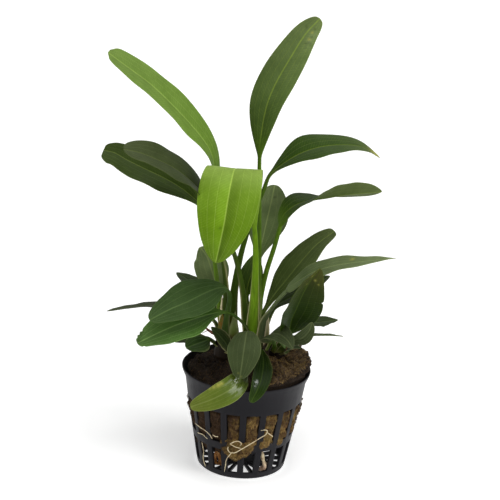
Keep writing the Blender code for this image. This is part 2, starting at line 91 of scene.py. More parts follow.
class Paint:
    # one material, with its Principled shader and the nodes that feed it
    def __init__(self, name, **fixed):
        self.material = bpy.data.materials.new(name)
        self.material.use_nodes = True
        self.tree = self.material.node_tree
        self.shader = self.tree.nodes["Principled BSDF"]
        self.feed(**fixed)

    def put(self, socket, value):
        if isinstance(value, Wire):
            self.tree.links.new(value.socket, socket)
        elif isinstance(value, tuple) and socket.type == "RGBA":
            socket.default_value = (*value, 1)
        else:
            socket.default_value = value

    def feed(self, **values):
        for key, value in values.items():
            self.put(self.shader.inputs[key.replace("_", " ")], value)

    def node(self, kind, settings=None, sockets=None, out=0):
        made = self.tree.nodes.new(kind)
        for key, value in (settings or {}).items():
            setattr(made, key, value)
        for key, value in (sockets or {}).items():
            self.put(made.inputs[key], value)
        return Wire(self, made.outputs[out])

    def attribute(self, name):
        return self.node("ShaderNodeAttribute", {"attribute_name": name}, out="Fac")

    def place(self, stretch=(1, 1, 1)):
        # the piece's own coordinates in millimetres
        own = self.node("ShaderNodeTexCoord", out="Object")
        return self.node("ShaderNodeVectorMath", {"operation": "MULTIPLY"},
                         {0: own, 1: tuple(1000 * s for s in stretch)})

    def noise(self, size, place=None, detail=3.0, rough=0.55, twist=0.0):
        return self.node("ShaderNodeTexNoise", None, {
            "Vector": place or self.place(), "Scale": 1 / size, "Detail": detail, "Roughness": rough,
            "Distortion": twist})

    def step(self, value, low, high):
        # 0 below low, 1 above high, smooth between
        return self.node("ShaderNodeMapRange", {"interpolation_type": "SMOOTHSTEP"},
                         {"Value": value, "From Min": low, "From Max": high})

    def mix(self, mask, first, second):
        return self.node("ShaderNodeMix", {"data_type": "RGBA"}, {0: mask, 6: first, 7: second}, out=2)

    def tone(self, color, brightness):
        # the colour made lighter or darker by a wire around 1
        return self.node("ShaderNodeVectorMath", {"operation": "SCALE"}, {0: color, "Scale": brightness})

    def bump(self, height):
        # height is in millimetres
        self.feed(Normal=self.node("ShaderNodeBump", None, {"Strength": 1.0, "Distance": mm, "Height": height}))


def makeMesh(name, points, faces, material, values=None):
    mesh = bpy.data.meshes.new(name)
    mesh.from_pydata((np.asarray(points, float) * mm).tolist(), [], faces)
    for key, numbers in (values or {}).items():
        layer = mesh.attributes.new(key, "FLOAT", "POINT")
        layer.data.foreach_set("value", np.asarray(numbers, np.float32).ravel())
    mesh.polygons.foreach_set("use_smooth", [True] * len(mesh.polygons))
    mesh.materials.append(material)
    mesh.update()
    obj = bpy.data.objects.new(name, mesh)
    bpy.context.scene.collection.objects.link(obj)
    return obj


def pieceName(node):
    first, *rest = node.split("_")
    return first + "".join(word.title() for word in rest)


def settle(obj, slot, *nodes):
    # the piece rides on the plant's one body, and stands for the nodes named
    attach(obj, "root")
    if nodes:
        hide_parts(*nodes)
    return obj


def gridFaces(rows, ring, start=0):
    # quads between closed rings of points, facing out where a ring turns right-handed round its line
    faces = []
    for i in range(rows - 1):
        for j in range(ring):
            k = (j + 1) % ring
            a = start + i * ring
            faces.append((a + j, a + k, a + ring + k, a + ring + j))
    return faces


def endFaces(rows, ring):
    # the two faces that close such rings at their ends
    return [tuple(reversed(range(ring))), tuple((rows - 1) * ring + j for j in range(ring))]


def shifted(faces, by):
    return [tuple(v + by for v in face) for face in faces]


def onCircle(reach, turn, z):
    # points round the pot's axis, turn in radians
    return np.stack([reach * np.cos(turn), reach * np.sin(turn), z], 1)


def unit(vectors):
    return vectors / np.linalg.norm(vectors, axis=-1, keepdims=True)


def smoothStep(value, low, high):
    t = np.clip((value - low) / (high - low), 0, 1)
    return t * t * (3 - 2 * t)


def smoothLine(points, steps):
    # points along a smooth curve through the given ones, and each given one's fraction of its length
    p = np.array(points, float)
    padded = np.vstack([2 * p[0] - p[1], p, 2 * p[-1] - p[-2]])
    fine = []
    for a, b, c, d in zip(padded, padded[1:], padded[2:], padded[3:]):
        left, mid, right = (np.linalg.norm(v) for v in (b - a, c - b, d - c))
        out = mid * (c - a) / (left + mid)
        into = mid * (d - b) / (mid + right)
        t = np.linspace(0, 1, 12, endpoint=False)[:, None]
        fine.append((2 * t**3 - 3 * t**2 + 1) * b + (t**3 - 2 * t**2 + t) * out
                    + (3 * t**2 - 2 * t**3) * c + (t**3 - t**2) * into)
    fine = np.vstack(fine + [p[-1:]])
    run = np.concatenate([[0], np.cumsum(np.linalg.norm(np.diff(fine, axis=0), axis=1))])
    at = np.array(steps) if np.ndim(steps) else np.linspace(0, 1, steps)
    line = np.stack([np.interp(at * run[-1], run, fine[:, k]) for k in range(3)], axis=1)
    return line, run[::12] / run[-1], run[-1]


def lumps(points, size, octaves, seed):
    # one noise value for each point, from about -1 to 1
    return np.array([noise.fractal(Vector(p) / size + Vector((seed, 0, 0)), 0.8, 2.1, octaves) for p in points])


# The camera stands in front of the pot and looks down on it, turned a little.
cameraSet = dict(x=-1.5, away=662.6, height=317.9, pitch=18.5, roll=3.5, lens=120.74)
camera = bpy.data.objects.new("camera", bpy.data.cameras.new("camera"))
camera.data.lens = cameraSet["lens"]
camera.matrix_world = (
    Matrix.Translation(Vector((cameraSet["x"], -cameraSet["away"], cameraSet["height"])) * mm)
    @ Matrix.Rotation(radians(90 - cameraSet["pitch"]), 4, "X")
    @ Matrix.Rotation(radians(cameraSet["roll"]), 4, "Z"))
bpy.context.scene.collection.objects.link(camera)
bpy.context.scene.camera = camera

# Soft boxes, each at its place in metres and turned to the plant, and a white room.
studio = dict(
    aim=(0, 0, 0.09), sky=0.42, floorSize=8.0, floorColor=rgb(236, 236, 236), floorGlow=0.36,
    potGlow=0.8, underPot=(16, 22),
    boxes=[dict(name="boxTop", at=(0.1, -0.3, 1.0), size=0.7, power=6.0),
           dict(name="boxLeft", at=(-0.95, -0.45, 0.45), size=0.6, power=1.8),
           dict(name="boxRight", at=(0.95, -0.5, 0.6), size=0.5, power=5.0),
           dict(name="boxBack", at=(0, 1.3, 1.0), size=1.2, power=9.0, aim=(0, 1.6, 0))])


def buildStudio():
    world = bpy.data.worlds.new("studio")
    world.use_nodes = True
    world.node_tree.nodes["Background"].inputs["Color"].default_value = (1, 1, 1, 1)
    world.node_tree.nodes["Background"].inputs["Strength"].default_value = studio["sky"]
    bpy.context.scene.world = world
    bpy.context.scene.view_settings.view_transform = "Standard"
    for box in studio["boxes"]:
        lamp = bpy.data.objects.new(box["name"], bpy.data.lights.new(box["name"], "AREA"))
        lamp.data.size, lamp.data.energy = box["size"], box["power"]
        lamp.location = box["at"]
        way = Vector(box.get("aim", studio["aim"])) - Vector(box["at"])
        lamp.rotation_euler = way.to_track_quat("-Z", "Y").to_euler()
        bpy.context.scene.collection.objects.link(lamp)
    # the white table glows: painted light, strongest under the pot, so that it shows white through the spokes
    paper = Paint("paper", Base_Color=studio["floorColor"], Roughness=0.9, Emission_Strength=1.0)
    near = paper.node("ShaderNodeVectorMath", {"operation": "LENGTH"}, {0: paper.place()}, out="Value")
    far = paper.step(near, *studio["underPot"])
    glow = studio["potGlow"] * (1 - far) + studio["floorGlow"] * far
    paper.feed(Emission_Color=paper.tone(studio["floorColor"], glow))
    half = studio["floorSize"] / 2 / mm
    floor = makeMesh("floor", [(-half, -half, 0), (half, -half, 0), (half, half, 0), (-half, half, 0)],
                     [(0, 1, 2, 3)], paper.material)


buildStudio()
print("studio ready")


# The pot: a flared lip, a plain band, eighteen ribs with two rows of windows, spokes and a hub.
# soft: how far the edges are rounded, and sharp: from how many degrees an edge is rounded.
# soil: the darker brown of the painted shade on the pot's inside
pot = dict(ribs=18, ribWide=2.75, spokeWide=1.7, soft=0.28, sharp=32, insideFrom=31,
           color=rgb(16, 15, 20), dust=rgb(112, 108, 112), soil=rgb(16, 12, 9), roughness=0.38)
# outer point, inner point (radius and height), and whether the stretch to the next one has windows
potStations = [
    ((27.5, 44.0), (26.8, 44.0), False), ((27.3, 43.0), (26.4, 42.4), False),
    ((25.8, 39.5), (24.8, 39.3), False), ((24.75, 32.6), (23.4, 32.6), False),
    ((24.6, 31.5), (23.4, 31.5), True), ((22.0, 17.0), (20.8, 17.0), False),
    ((21.35, 13.5), (20.15, 13.5), True), ((19.45, 3.0), (18.25, 3.0), False),
    ((18.9, 0.5), (17.7, 1.6), False), ((18.4, 0.0), (17.3, 1.3), False),
    ((16.9, 0.0), (16.9, 1.3), True), ((5.6, 0.0), (5.6, 1.3), False), ((1.2, 0.0), (1.2, 1.3), False)]


potWall = dict(z=(0, 31.5, 39.5, 43.0, 44.0), radius=(18.9, 24.6, 25.8, 27.3, 27.5))  # its outer face


def potRadius(z):
    return np.interp(z, potWall["z"], potWall["radius"])


def potPaint():
    paint = Paint("moulded black plastic", Specular_IOR_Level=0.15)
    place = paint.place()
    cloud = paint.noise(7.0, place, detail=4)
    grain = paint.noise(0.35, place, detail=2)
    streaks = paint.noise(1.1, paint.place((1, 1, 0.12)), detail=3)
    dust = paint.step(cloud * 0.6 + streaks * 0.5, 0.5, 0.78)
    specks = paint.step(paint.noise(0.55, place, detail=2, rough=0.7), 0.66, 0.72)
    worn = paint.attribute("edge")
    mask = (dust * 0.02 + specks * 0.04 + worn * 0.02).least(1.0)
    # painted shade: the inside above the windows is darker and browner in patches, and rougher
    shadedInside = paint.attribute("inside") * paint.step(cloud + grain * 0.3, 0.3, 0.6)
    color = paint.mix(shadedInside, paint.mix(mask, pot["color"], pot["dust"]), pot["soil"])
    paint.feed(Base_Color=color, Roughness=(pot["roughness"] + dust * 0.16 + grain * 0.12 + shadedInside * 0.45).least(1.0))
    paint.bump(grain * 0.02 + cloud * 0.05 + streaks * 0.012)
    return paint.material


def buildPot():
    points, columns = [], []
    period = 2 * pi / pot["ribs"]
    for rib in range(pot["ribs"]):
        # five columns on the rib, three over the window
        columns += [(rib, "rib", s) for s in (-1, -0.5, 0, 0.5, 1)] + [(rib, "gap", s) for s in (0.25, 0.5, 0.75)]
    for outer, inner, _ in potStations:
        wide = pot["ribWide"] if outer[1] > 1 else pot["spokeWide"]
        half = min(asin(wide / 2 / outer[0]) if outer[0] > wide else 1, 0.3 * period)
        for radius, z in (outer, inner):
            for rib, kind, s in columns:
                turn = -pi / 2 + rib * period
                turn += s * half if kind == "rib" else half + s * (period - 2 * half)
                points.append((radius * cos(turn), radius * sin(turn), z))
    count = len(columns)
    onRib = [kind == "rib" and s < 1 for _, kind, s in columns]
    last = len(potStations) - 1

    def at(i, inner, j):
        return (2 * i + inner) * count + j % count

    def filled(i, j):
        return 0 <= i < last and (not potStations[i][2] or onRib[j % count])

    faces = []
    for i in range(last):
        for j in range(count):
            if not filled(i, j):
                continue
            a, b, c, d = at(i, 0, j), at(i, 0, j + 1), at(i + 1, 0, j + 1), at(i + 1, 0, j)
            e, f, g, h = at(i, 1, j), at(i, 1, j + 1), at(i + 1, 1, j + 1), at(i + 1, 1, j)
            faces += [(d, c, b, a), (e, f, g, h)]
            if not filled(i - 1, j):
                faces.append((a, b, f, e))
            if not filled(i + 1, j) and i + 1 < last:
                faces.append((c, d, h, g))
            if not filled(i, j - 1):
                faces.append((a, e, h, d))
            if not filled(i, j + 1):
                faces.append((f, b, c, g))
    faces.append(tuple(at(last, 0, j) for j in reversed(range(count))))
    faces.append(tuple(at(last, 1, j) for j in range(count)))
    inside = np.tile(np.repeat([0.0, 1.0], count), len(potStations)) * (np.array(points)[:, 2] > pot["insideFrom"])
    obj = makeMesh("netPot", points, faces, potPaint(), dict(inside=inside))
    body = bmesh.new()
    body.from_mesh(obj.data)
    body.normal_update()
    sharp = [e for e in body.edges if len(e.link_faces) == 2 and e.calc_face_angle(0) > radians(pot["sharp"])]
    made = bmesh.ops.bevel(body, geom=sharp, offset=pot["soft"] * mm, offset_type="OFFSET", segments=2,
                           profile=0.6, affect="EDGES", clamp_overlap=True)
    edge = body.verts.layers.float.new("edge")
    for vert in {v for face in made["faces"] for v in face.verts}:
        vert[edge] = 1.0
    for face in body.faces:
        face.smooth = True
    body.to_mesh(obj.data)
    body.free()
    obj.modifiers.new("normals", "WEIGHTED_NORMAL").keep_sharp = True
    return settle(obj, "pot_black", "net_pot")


buildPot()
print("pot built")


# Rock wool: low and dark at the front left, heaped under the crowns, a fibrous chunk at the right.
# low: how high its top is where nothing is heaped, flat: the radius within which the top has its shape,
# footIn, topIn: how far its side draws in at both ends, under, side and cap: the rows of points beneath it,
# round it and over it.
wool = dict(low=40.9, back=2.2, most=49.0, clear=0.5, wall=1.2, bottom=12.3, edge=25.3, over=1.5, flat=23.6, lift=0.6,
            footIn=0.9, topIn=0.7, around=340, under=16, side=80, cap=46, bulge=1.9,
            soil=rgb(34, 26, 18), dark=rgb(58, 42, 28), rust=rgb(78, 50, 26), brown=rgb(98, 72, 42),
            tan=rgb(146, 118, 66), pale=rgb(168, 142, 100), grey=rgb(100, 84, 66), olive=rgb(122, 108, 56))
# its roughness at four sizes: size in millimetres, octaves and seed
woolLumps = dict(big=(5.0, 3, 0), small=(1.7, 3, 7), hair=(0.75, 2, 19), torn=(3.6, 3, 31))
woolHeap = dict(x=2, wide=13, deep=11, rise=11.0)
woolChunk = dict(x=7, soft=1.6, rise=10.5, frontY=-13, frontSoft=2.0, frontDrop=0.45)
# where wool hangs out over the ring between the rows of windows, and where its underside hangs lower
woolTufts = [dict(turn=-92, wide=21, z=14.0, tall=6.2, out=2.5), dict(turn=-64, wide=8.5, z=15.6, tall=3.9, out=2.1),
             dict(turn=-43, wide=7.5, z=15.4, tall=4.0, out=1.9)]
woolHangs = [dict(turn=-96, wide=13, drop=3.6), dict(turn=-64, wide=8, drop=1.1), dict(turn=-44, wide=7, drop=1.8)]
# where it is dark: painted shade on the side that faces turn and under the band, and its own darker colour in patches
woolShade = dict(turn=-138, reach=(0.64, 0.92), patches=0.68, under=0.68, color=rgb(50, 33, 20))


def stepUp(value, soft):
    return 1 / (1 + np.exp(-value / soft))


def woolTop(x, y):
    heap = woolHeap["rise"] * np.exp(
        -(((x - woolHeap["x"]) / woolHeap["wide"]) ** 2 + (y / woolHeap["deep"]) ** 2) ** 1.6)
    front = stepUp(woolChunk["frontY"] - y, woolChunk["frontSoft"])
    chunk = woolChunk["rise"] * stepUp(x - woolChunk["x"], woolChunk["soft"])
    chunk = chunk * (1 - woolChunk["frontDrop"] * front)
    waves = 0.6 * np.sin(0.9 * x) * np.sin(0.8 * y + 1) + 0.8 * np.sin(0.5 * x + 1) * np.cos(0.45 * y)
    back = wool["back"] * smoothStep(y, -12, 2)
    return np.minimum(wool["low"] + np.maximum(heap, chunk + back) + waves, wool["most"])


def woolReach(z):
    inside = potRadius(z) - wool["wall"] - wool["clear"]
    # above the lip it spills outward
    return np.minimum(wool["edge"], inside) + wool["over"] * smoothStep(z, 44.3, 46.0)


def apart(turn, middle):
    # how many degrees lie between two directions, the first in radians
    return np.abs((np.degrees(turn) - middle + 180) % 360 - 180)


def woolBottom(turn):
    hang = sum(low["drop"] * np.exp(-(apart(turn, low["turn"]) / low["wide"]) ** 2) for low in woolHangs)
    return wool["bottom"] + 2.4 * np.cos(2 * (turn + radians(50))) + 0.6 * np.sin(5 * turn) - hang


# the two rows of windows: the heights where one starts, is fully open, starts to close and ends
windowRows = [(16.9, 19.0, 29.8, 31.6), (2.9, 4.5, 11.6, 13.6)]


def windowShare(turn, z):
    # 1 in the middle of a window in the pot's wall, 0 behind a rib or the ring
    period = 2 * pi / pot["ribs"]
    off = np.abs((turn + pi / 2 + period / 2) % period - period / 2) * woolReach(z)
    gap = smoothStep(off, pot["ribWide"] / 2 - 0.35, pot["ribWide"] / 2 + 0.6)
    upper, lower = (smoothStep(z, a, b) * (1 - smoothStep(z, c, d)) for a, b, c, d in windowRows)
    return gap * np.maximum(upper, lower)


def woolPaint():
    paint = Paint("wet rock wool", Specular_IOR_Level=0.2)
    place = paint.place()
    strands = paint.noise(0.5, paint.place((1, 1, 0.16)), detail=5, rough=0.6, twist=0.7)
    matted = paint.noise(0.42, paint.place((0.6, 1, 1)), detail=4, rough=0.7, twist=1.6)
    clods = paint.noise(2.8, place, detail=3, rough=0.55)
    inWindow, dry, dim = paint.attribute("window"), paint.attribute("dry"), paint.attribute("dim")
    golden = paint.mix(paint.step(strands, 0.3, 0.62), wool["brown"], wool["tan"])
    golden = paint.mix(paint.step(strands + clods * 0.3, 0.78, 0.98) * 0.6, golden, wool["pale"])
    golden = paint.mix(paint.step(clods, 0.48, 0.62) * 0.8, golden, wool["rust"])
    blotches = paint.noise(2.1, place, detail=4, rough=0.6, twist=0.8)
    golden = paint.mix(paint.step(blotches, 0.5, 0.66) * 0.7, golden, wool["olive"])
    golden = paint.mix((1 - paint.step(blotches, 0.36, 0.48)) * 0.75, golden, wool["dark"])
    # painted shade in the windows, with the wool's own darker patches
    golden = paint.mix(dim * 0.95, golden, woolShade["color"])
    soil = paint.mix(paint.step(matted, 0.42, 0.7), wool["soil"], wool["dark"])
    # the chunk's threads run down in swirls
    swirls = paint.noise(1.5, paint.place((1, 1, 0.35)), detail=5, rough=0.65, twist=2.2)
    chunk = paint.mix(paint.step(swirls, 0.38, 0.56), wool["dark"], wool["grey"])
    chunk = paint.mix(paint.step(swirls + matted * 0.3, 0.68, 0.84) * 0.7, chunk, wool["tan"])
    color = paint.mix(dry, soil, chunk)
    color = paint.mix(paint.step(inWindow, 0.05, 0.5), color, golden)
    # painted shade: the wool is darker in its hollows
    color = paint.tone(color, (0.7 + clods * 0.55) * (1 - paint.attribute("hollow") * 0.5))
    paint.feed(Base_Color=color, Roughness=0.75 + matted * 0.2)
    paint.bump(strands * inWindow * 0.2 + matted * (1 - inWindow) * 0.5 + clods * 0.3)
    return paint.material


def woolRows(turn):
    # rings of points under the wool, up its side and over its top
    rows = []
    under = woolBottom(turn)
    for share in np.linspace(0.06, 0.97, wool["under"]):
        rows.append(onCircle(share * woolReach(under), turn, under + 1.0 - 1.2 * share))
    topZ = woolTop(wool["flat"] * np.cos(turn), wool["flat"] * np.sin(turn))
    for share in np.linspace(0, 1, wool["side"]):
        z = under + wool["lift"] + (topZ - under - wool["lift"]) * share
        reach = woolReach(z) - wool["footIn"] * (1 - smoothStep(share, 0, 0.06))
        reach = reach - wool["topIn"] * smoothStep(share, 0.95, 1)
        rows.append(onCircle(reach, turn, z))
    for share in np.linspace(0.97, 0.03, wool["cap"]):
        reach = share * woolReach(topZ)
        inward = np.minimum(reach, wool["flat"])
        rows.append(onCircle(reach, turn, woolTop(inward * np.cos(turn), inward * np.sin(turn))))
    return rows


def buildWool():
    around = wool["around"]
    rows = woolRows(np.linspace(0, 2 * pi, around, endpoint=False))
    points = np.vstack(rows)
    count = len(rows)
    angle = np.arctan2(points[:, 1], points[:, 0])
    # kind: 0 beneath, 1 on the side, 2 on the top
    kind = np.repeat([0] * wool["under"] + [1] * wool["side"] + [2] * wool["cap"], around)
    big, small, hair = (lumps(points, *woolLumps[size]) for size in ("big", "small", "hair"))
    window = windowShare(angle, points[:, 2]) * (kind == 1)
    ragged = 1 + 0.35 * big + 0.3 * small
    outward = window * wool["bulge"] * (0.7 + 0.7 * big + 0.35 * small) + 0.12 * small * (kind == 1)
    tufted = np.zeros(len(points))
    for tuft in woolTufts:
        near = 1 - smoothStep(apart(angle, tuft["turn"]) * ragged, tuft["wide"] * 0.5, tuft["wide"])
        near *= 1 - smoothStep(np.abs(points[:, 2] - tuft["z"]) * ragged, tuft["tall"] * 0.55, tuft["tall"])
        near *= kind == 1
        outward = np.maximum(outward, near * (tuft["out"] + 0.5 * small + 0.2 * hair))
        tufted = np.maximum(tufted, near)
    outward += hair * 0.1 * window
    # ragged where it stands over the lip
    spill = smoothStep(points[:, 2], 44.6, 46.4) * smoothStep(points[:, 0], 4, 9)
    spill *= smoothStep(np.hypot(points[:, 0], points[:, 1]), 20.0, 24.5)
    outward += spill * (1.1 * big + 1.2 * small + 0.5 * hair)
    way = np.stack([np.cos(angle), np.sin(angle), 0 * angle], 1)
    points = points + way * outward[:, None]
    rough = (kind != 1) * (0.9 * big + 0.7 * small + 0.35 * hair)
    torn = (kind == 2) * smoothStep(points[:, 0], 6, 9)
    rough += torn * (2.6 * np.abs(lumps(points, *woolLumps["torn"])) - 1.2 + 0.5 * hair)
    inner = 1 - smoothStep(np.hypot(points[:, 0], points[:, 1]), 22.5, 25.0)
    # round the crowns' feet the top keeps its height, so that they stay in it
    points[:, 2] += rough * np.where(kind == 2, 0.35 + 0.65 * np.maximum(inner, 0.5 * torn), 0.8)
    # painted shade in the dents of the surface and of the torn top
    hollow = smoothStep(-(0.6 * big + 0.6 * small), 0.1, 0.7) * np.where(kind == 1, 0.4, 1.0)
    hollow = np.maximum(hollow, torn * smoothStep(-rough, 0.1, 0.9))
    dry = (kind == 2) * smoothStep(points[:, 0] + big * 3, 5, 10)
    # painted shade: the wool is darkest in the windows at the front left and under the band; in patches elsewhere it is
    # its own darker colour
    dim = smoothStep(np.cos(angle - radians(woolShade["turn"])), *woolShade["reach"])
    dim = dim + woolShade["patches"] * smoothStep(big - 0.3 * small, -0.1, 0.35)
    dim = dim + woolShade["under"] * smoothStep(points[:, 2], 25, 30.5) * (kind == 1) * (0.5 + small)
    dim = np.clip(dim, 0, 1) * (1 - 0.8 * tufted)
    points = np.vstack([points, points[:around].mean(0), points[-around:].mean(0)])
    faces = gridFaces(count, around)
    end = (count - 1) * around
    for j in range(around):
        k = (j + 1) % around
        faces += [(len(points) - 2, k, j), (end + j, end + k, len(points) - 1)]
    values = dict(window=np.maximum(window, tufted), dry=dry, hollow=hollow, dim=dim)
    values = {key: np.append(v, [v[0], v[-1]]) for key, v in values.items()}
    obj = makeMesh("rockWool", points, faces, woolPaint(), values)
    return settle(obj, "wool", "rockwool"), points[:-2], kind, window, tufted, dim


woolPiece, woolPoints, woolKind, woolWindow, woolTufted, woolDim = buildWool()
print("wool built, faces:", len(woolPiece.data.polygons))


# The crowns: three short stocks, each wrapped in the papery feet of old leaves.
sink = 1.0  # how far they and the leaves are let down into the wool
crowns = {
    "crown_left": dict(at=(-8.5, 3.0), radius=5.0, top=57.0, scales=9, tall=(5.5, 10.5), seed=3),
    "crown_right": dict(at=(3.0, -3.5), radius=5.2, top=57.5, scales=9, tall=(4.5, 9.0), seed=8),
    "crown_side": dict(at=(12.5, 3.0), radius=3.6, top=55.0, scales=7, tall=(3.5, 6.0), seed=5)}
crownLow = 50.6
# The sheaths that stand out: towards where, half their spread in degrees, how high, how far in from the
# stock's edge, how papery and how orange.
sheaths = {
    "crown_left": [dict(turn=240, half=30, tall=19.5, inset=-1.2, paper=0.0, warm=0.75),
                   dict(turn=200, half=24, tall=14.5, inset=0.0, paper=1.0, warm=0.3),
                   dict(turn=228, half=13, tall=26.5, inset=-1.0, paper=1.6, warm=0.0),
                   dict(turn=292, half=30, tall=20.0, inset=-1.2, paper=0.15, warm=0.0)],
    "crown_right": [dict(turn=196, half=22, tall=27.5, inset=0.4, paper=0.8, warm=0.45),
                    dict(turn=228, half=28, tall=20.0, inset=0.2, paper=0.3, warm=0.1),
                    dict(turn=326, half=24, tall=22.5, inset=-0.9, paper=0.75, warm=0.25),
                    dict(turn=10, half=24, tall=14.0, inset=0.0, paper=0.5, warm=0.3)],
    "crown_side": [dict(turn=215, half=30, tall=9.5, inset=0.2, paper=0.5, warm=0.2)]}
# soil: the dark of the painted shade at the sheaths' feet near the wool
crownLook = dict(skin=rgb(70, 62, 26), ripe=rgb(134, 86, 30), paper=rgb(226, 216, 176), green=rgb(84, 104, 34),
                 blush=rgb(150, 118, 96), soil=rgb(38, 29, 20), root=3.5, thick=0.16, foot=2.0,
                 ring=48, rings=15, highest=86, across=13, up=22, ridge=0.28, rough=0.35)


def crownPoint(crown, turn, rise, lift):
    reach = np.array([crown["radius"], crown["radius"], crown["top"] - crownLow]) + lift
    way = np.array([cos(radians(turn)) * cos(radians(rise)), sin(radians(turn)) * cos(radians(rise)),
                    sin(radians(rise))])
    return np.array([*crown["at"], crownLow]) + reach * way


def crownPaint():
    paint = Paint("leaf sheaths", Specular_IOR_Level=0.1)
    paper, high, warm = paint.attribute("paper"), paint.attribute("high"), paint.attribute("warm")
    ribs = paint.noise(0.45, paint.place((1, 1, 0.08)), detail=3)
    cloud = paint.noise(2.2, detail=3)
    color = paint.mix(paint.step(high + cloud * 0.5 - 0.25, 0.1, 0.6), crownLook["skin"], crownLook["green"])
    color = paint.mix(warm * paint.step(cloud, 0.25, 0.6), color, crownLook["ripe"])
    color = paint.mix(paper, color, paint.mix(warm, crownLook["paper"], crownLook["blush"]))
    color = paint.tone(color, 0.62 + ribs * 0.76)
    # painted shade: low down near the wool the sheaths darken to the soil's colour
    color = paint.mix(paint.step(high + cloud * 0.3, 0.16, 0.5), crownLook["soil"], color)
    paint.feed(Base_Color=color, Roughness=0.45 + cloud * 0.2 + paper * 0.2)
    paint.bump(ribs * 0.2 + cloud * 0.12)
    return paint.material


crownMaterial = crownPaint()


def crownStock(crown):
    # the ridged stock itself, with its foot down in the wool
    points = []
    rises = np.concatenate([[-1, -1], np.linspace(0, crownLook["highest"], crownLook["rings"])])
    for i, rise in enumerate(rises):
        for t in np.linspace(0, 360, crownLook["ring"], endpoint=False):
            p = crownPoint(crown, t, max(rise, 0), 0)
            if rise < 0:
                p[2] -= crownLook["root"] * (1 - 0.5 * i)
            ridge = crownLook["ridge"] * abs(sin(radians(t * 3.5 + 40 * crown["seed"]))) * cos(radians(max(rise, 0)))
            ridge += crownLook["rough"] * noise.noise(Vector(p) / 2.1)
            points.append(p + ridge * unit(np.array([cos(radians(t)), sin(radians(t)), 0.4])))
    return points, gridFaces(len(rises), crownLook["ring"]) + endFaces(len(rises), crownLook["ring"])


def sheathPoints(crown, scale, dice):
    # a sheath's outer face and then its inner one, broad at the foot and torn at the tip, and how
    # papery each point is
    points, paper = [], []
    a = np.linspace(-1, 1, crownLook["across"])
    tall, phase = scale["tall"], dice.uniform(0, 6.28, 3)
    lean, curl, torn = dice.uniform(-0.3, 0.9), dice.uniform(0.0, 0.8), dice.uniform(0.3, 1.2)
    # old leaf feet draw in towards the stalks that they hold
    drawn = 0.26 + 0.02 * max(tall - 8, 0) * (scale["inset"] > -0.5)
    for face in (1, 0):
        for b in np.linspace(0, 1, crownLook["up"]):
            narrow = (1 - b**2.4) ** 0.6 * 0.9 + 0.1
            edge = 0.4 * np.sin(5 * a + phase[0]) + 0.25 * np.sin(13 * a + phase[1])
            edge = torn * smoothStep(b, 0.6, 1.0) * edge
            angle = np.radians(scale["turn"] + a * scale["half"] * narrow)
            reach = crown["radius"] * (0.98 - drawn * b) + 0.35 - scale["inset"] + lean * b**2
            reach = reach + curl * 0.6 * b * np.abs(a) ** 2 + face * crownLook["thick"] * (1.15 - np.abs(a))
            reach = reach + 0.14 * np.sin(9 * b + 3 * a + phase[2]) * b
            z = crownLow - crownLook["foot"] + (tall + crownLook["foot"]) * b * (1 - 0.16 * a**2) + edge
            points += list(onCircle(reach, angle, z) + (*crown["at"], 0))
            thin = smoothStep(b + 0.45 * np.abs(a) ** 2, 0.45, 1.0)
            paper += list(np.clip(scale["paper"] * thin * 1.1, 0, 1))
    return points, paper


def sheathFaces(start):
    across, up = crownLook["across"], crownLook["up"]
    faces = []
    for face in (0, 1):
        first = start + face * across * up
        for r in range(up - 1):
            for c in range(across - 1):
                q = (first + r * across + c, first + r * across + c + 1,
                     first + (r + 1) * across + c + 1, first + (r + 1) * across + c)
                faces.append(q if face == 0 else q[::-1])
    # the rim joins the two faces
    other = across * up
    rim = [start + c for c in range(across)] + [start + r * across + across - 1 for r in range(1, up)]
    rim += [start + (up - 1) * across + c for c in reversed(range(across - 1))]
    rim += [start + r * across for r in reversed(range(1, up - 1))]
    for p, q in zip(rim, rim[1:] + rim[:1]):
        faces.append((q, p, p + other, q + other))
    return faces


def buildCrown(name, crown):
    dice = np.random.default_rng(crown["seed"])
    points, faces = crownStock(crown)
    paper, warm = [0.0] * len(points), [0.2] * len(points)
    scales = []
    for i in range(crown["scales"]):
        scales.append(dict(turn=360 * i * 0.382, half=dice.uniform(26, 42), tall=dice.uniform(*crown["tall"]),
                           inset=dice.uniform(-0.2, 0.3), paper=dice.uniform(0.1, 0.7), warm=dice.uniform(0, 0.4)))
    for scale in scales + sheaths[name]:
        faces += sheathFaces(len(points))
        more, thin = sheathPoints(crown, scale, dice)
        points += more
        paper += thin
        warm += [scale["warm"]] * len(more)
    points = np.array(points) - (0, 0, sink)
    high = smoothStep(points[:, 2], crown["top"] - 2, crown["top"] + 8)
    obj = makeMesh(pieceName(name), points, faces, crownMaterial, dict(paper=paper, high=high, warm=warm))
    return settle(obj, "crown", name)


for crownName, crown in crowns.items():
    buildCrown(crownName, crown)
print("crowns built")
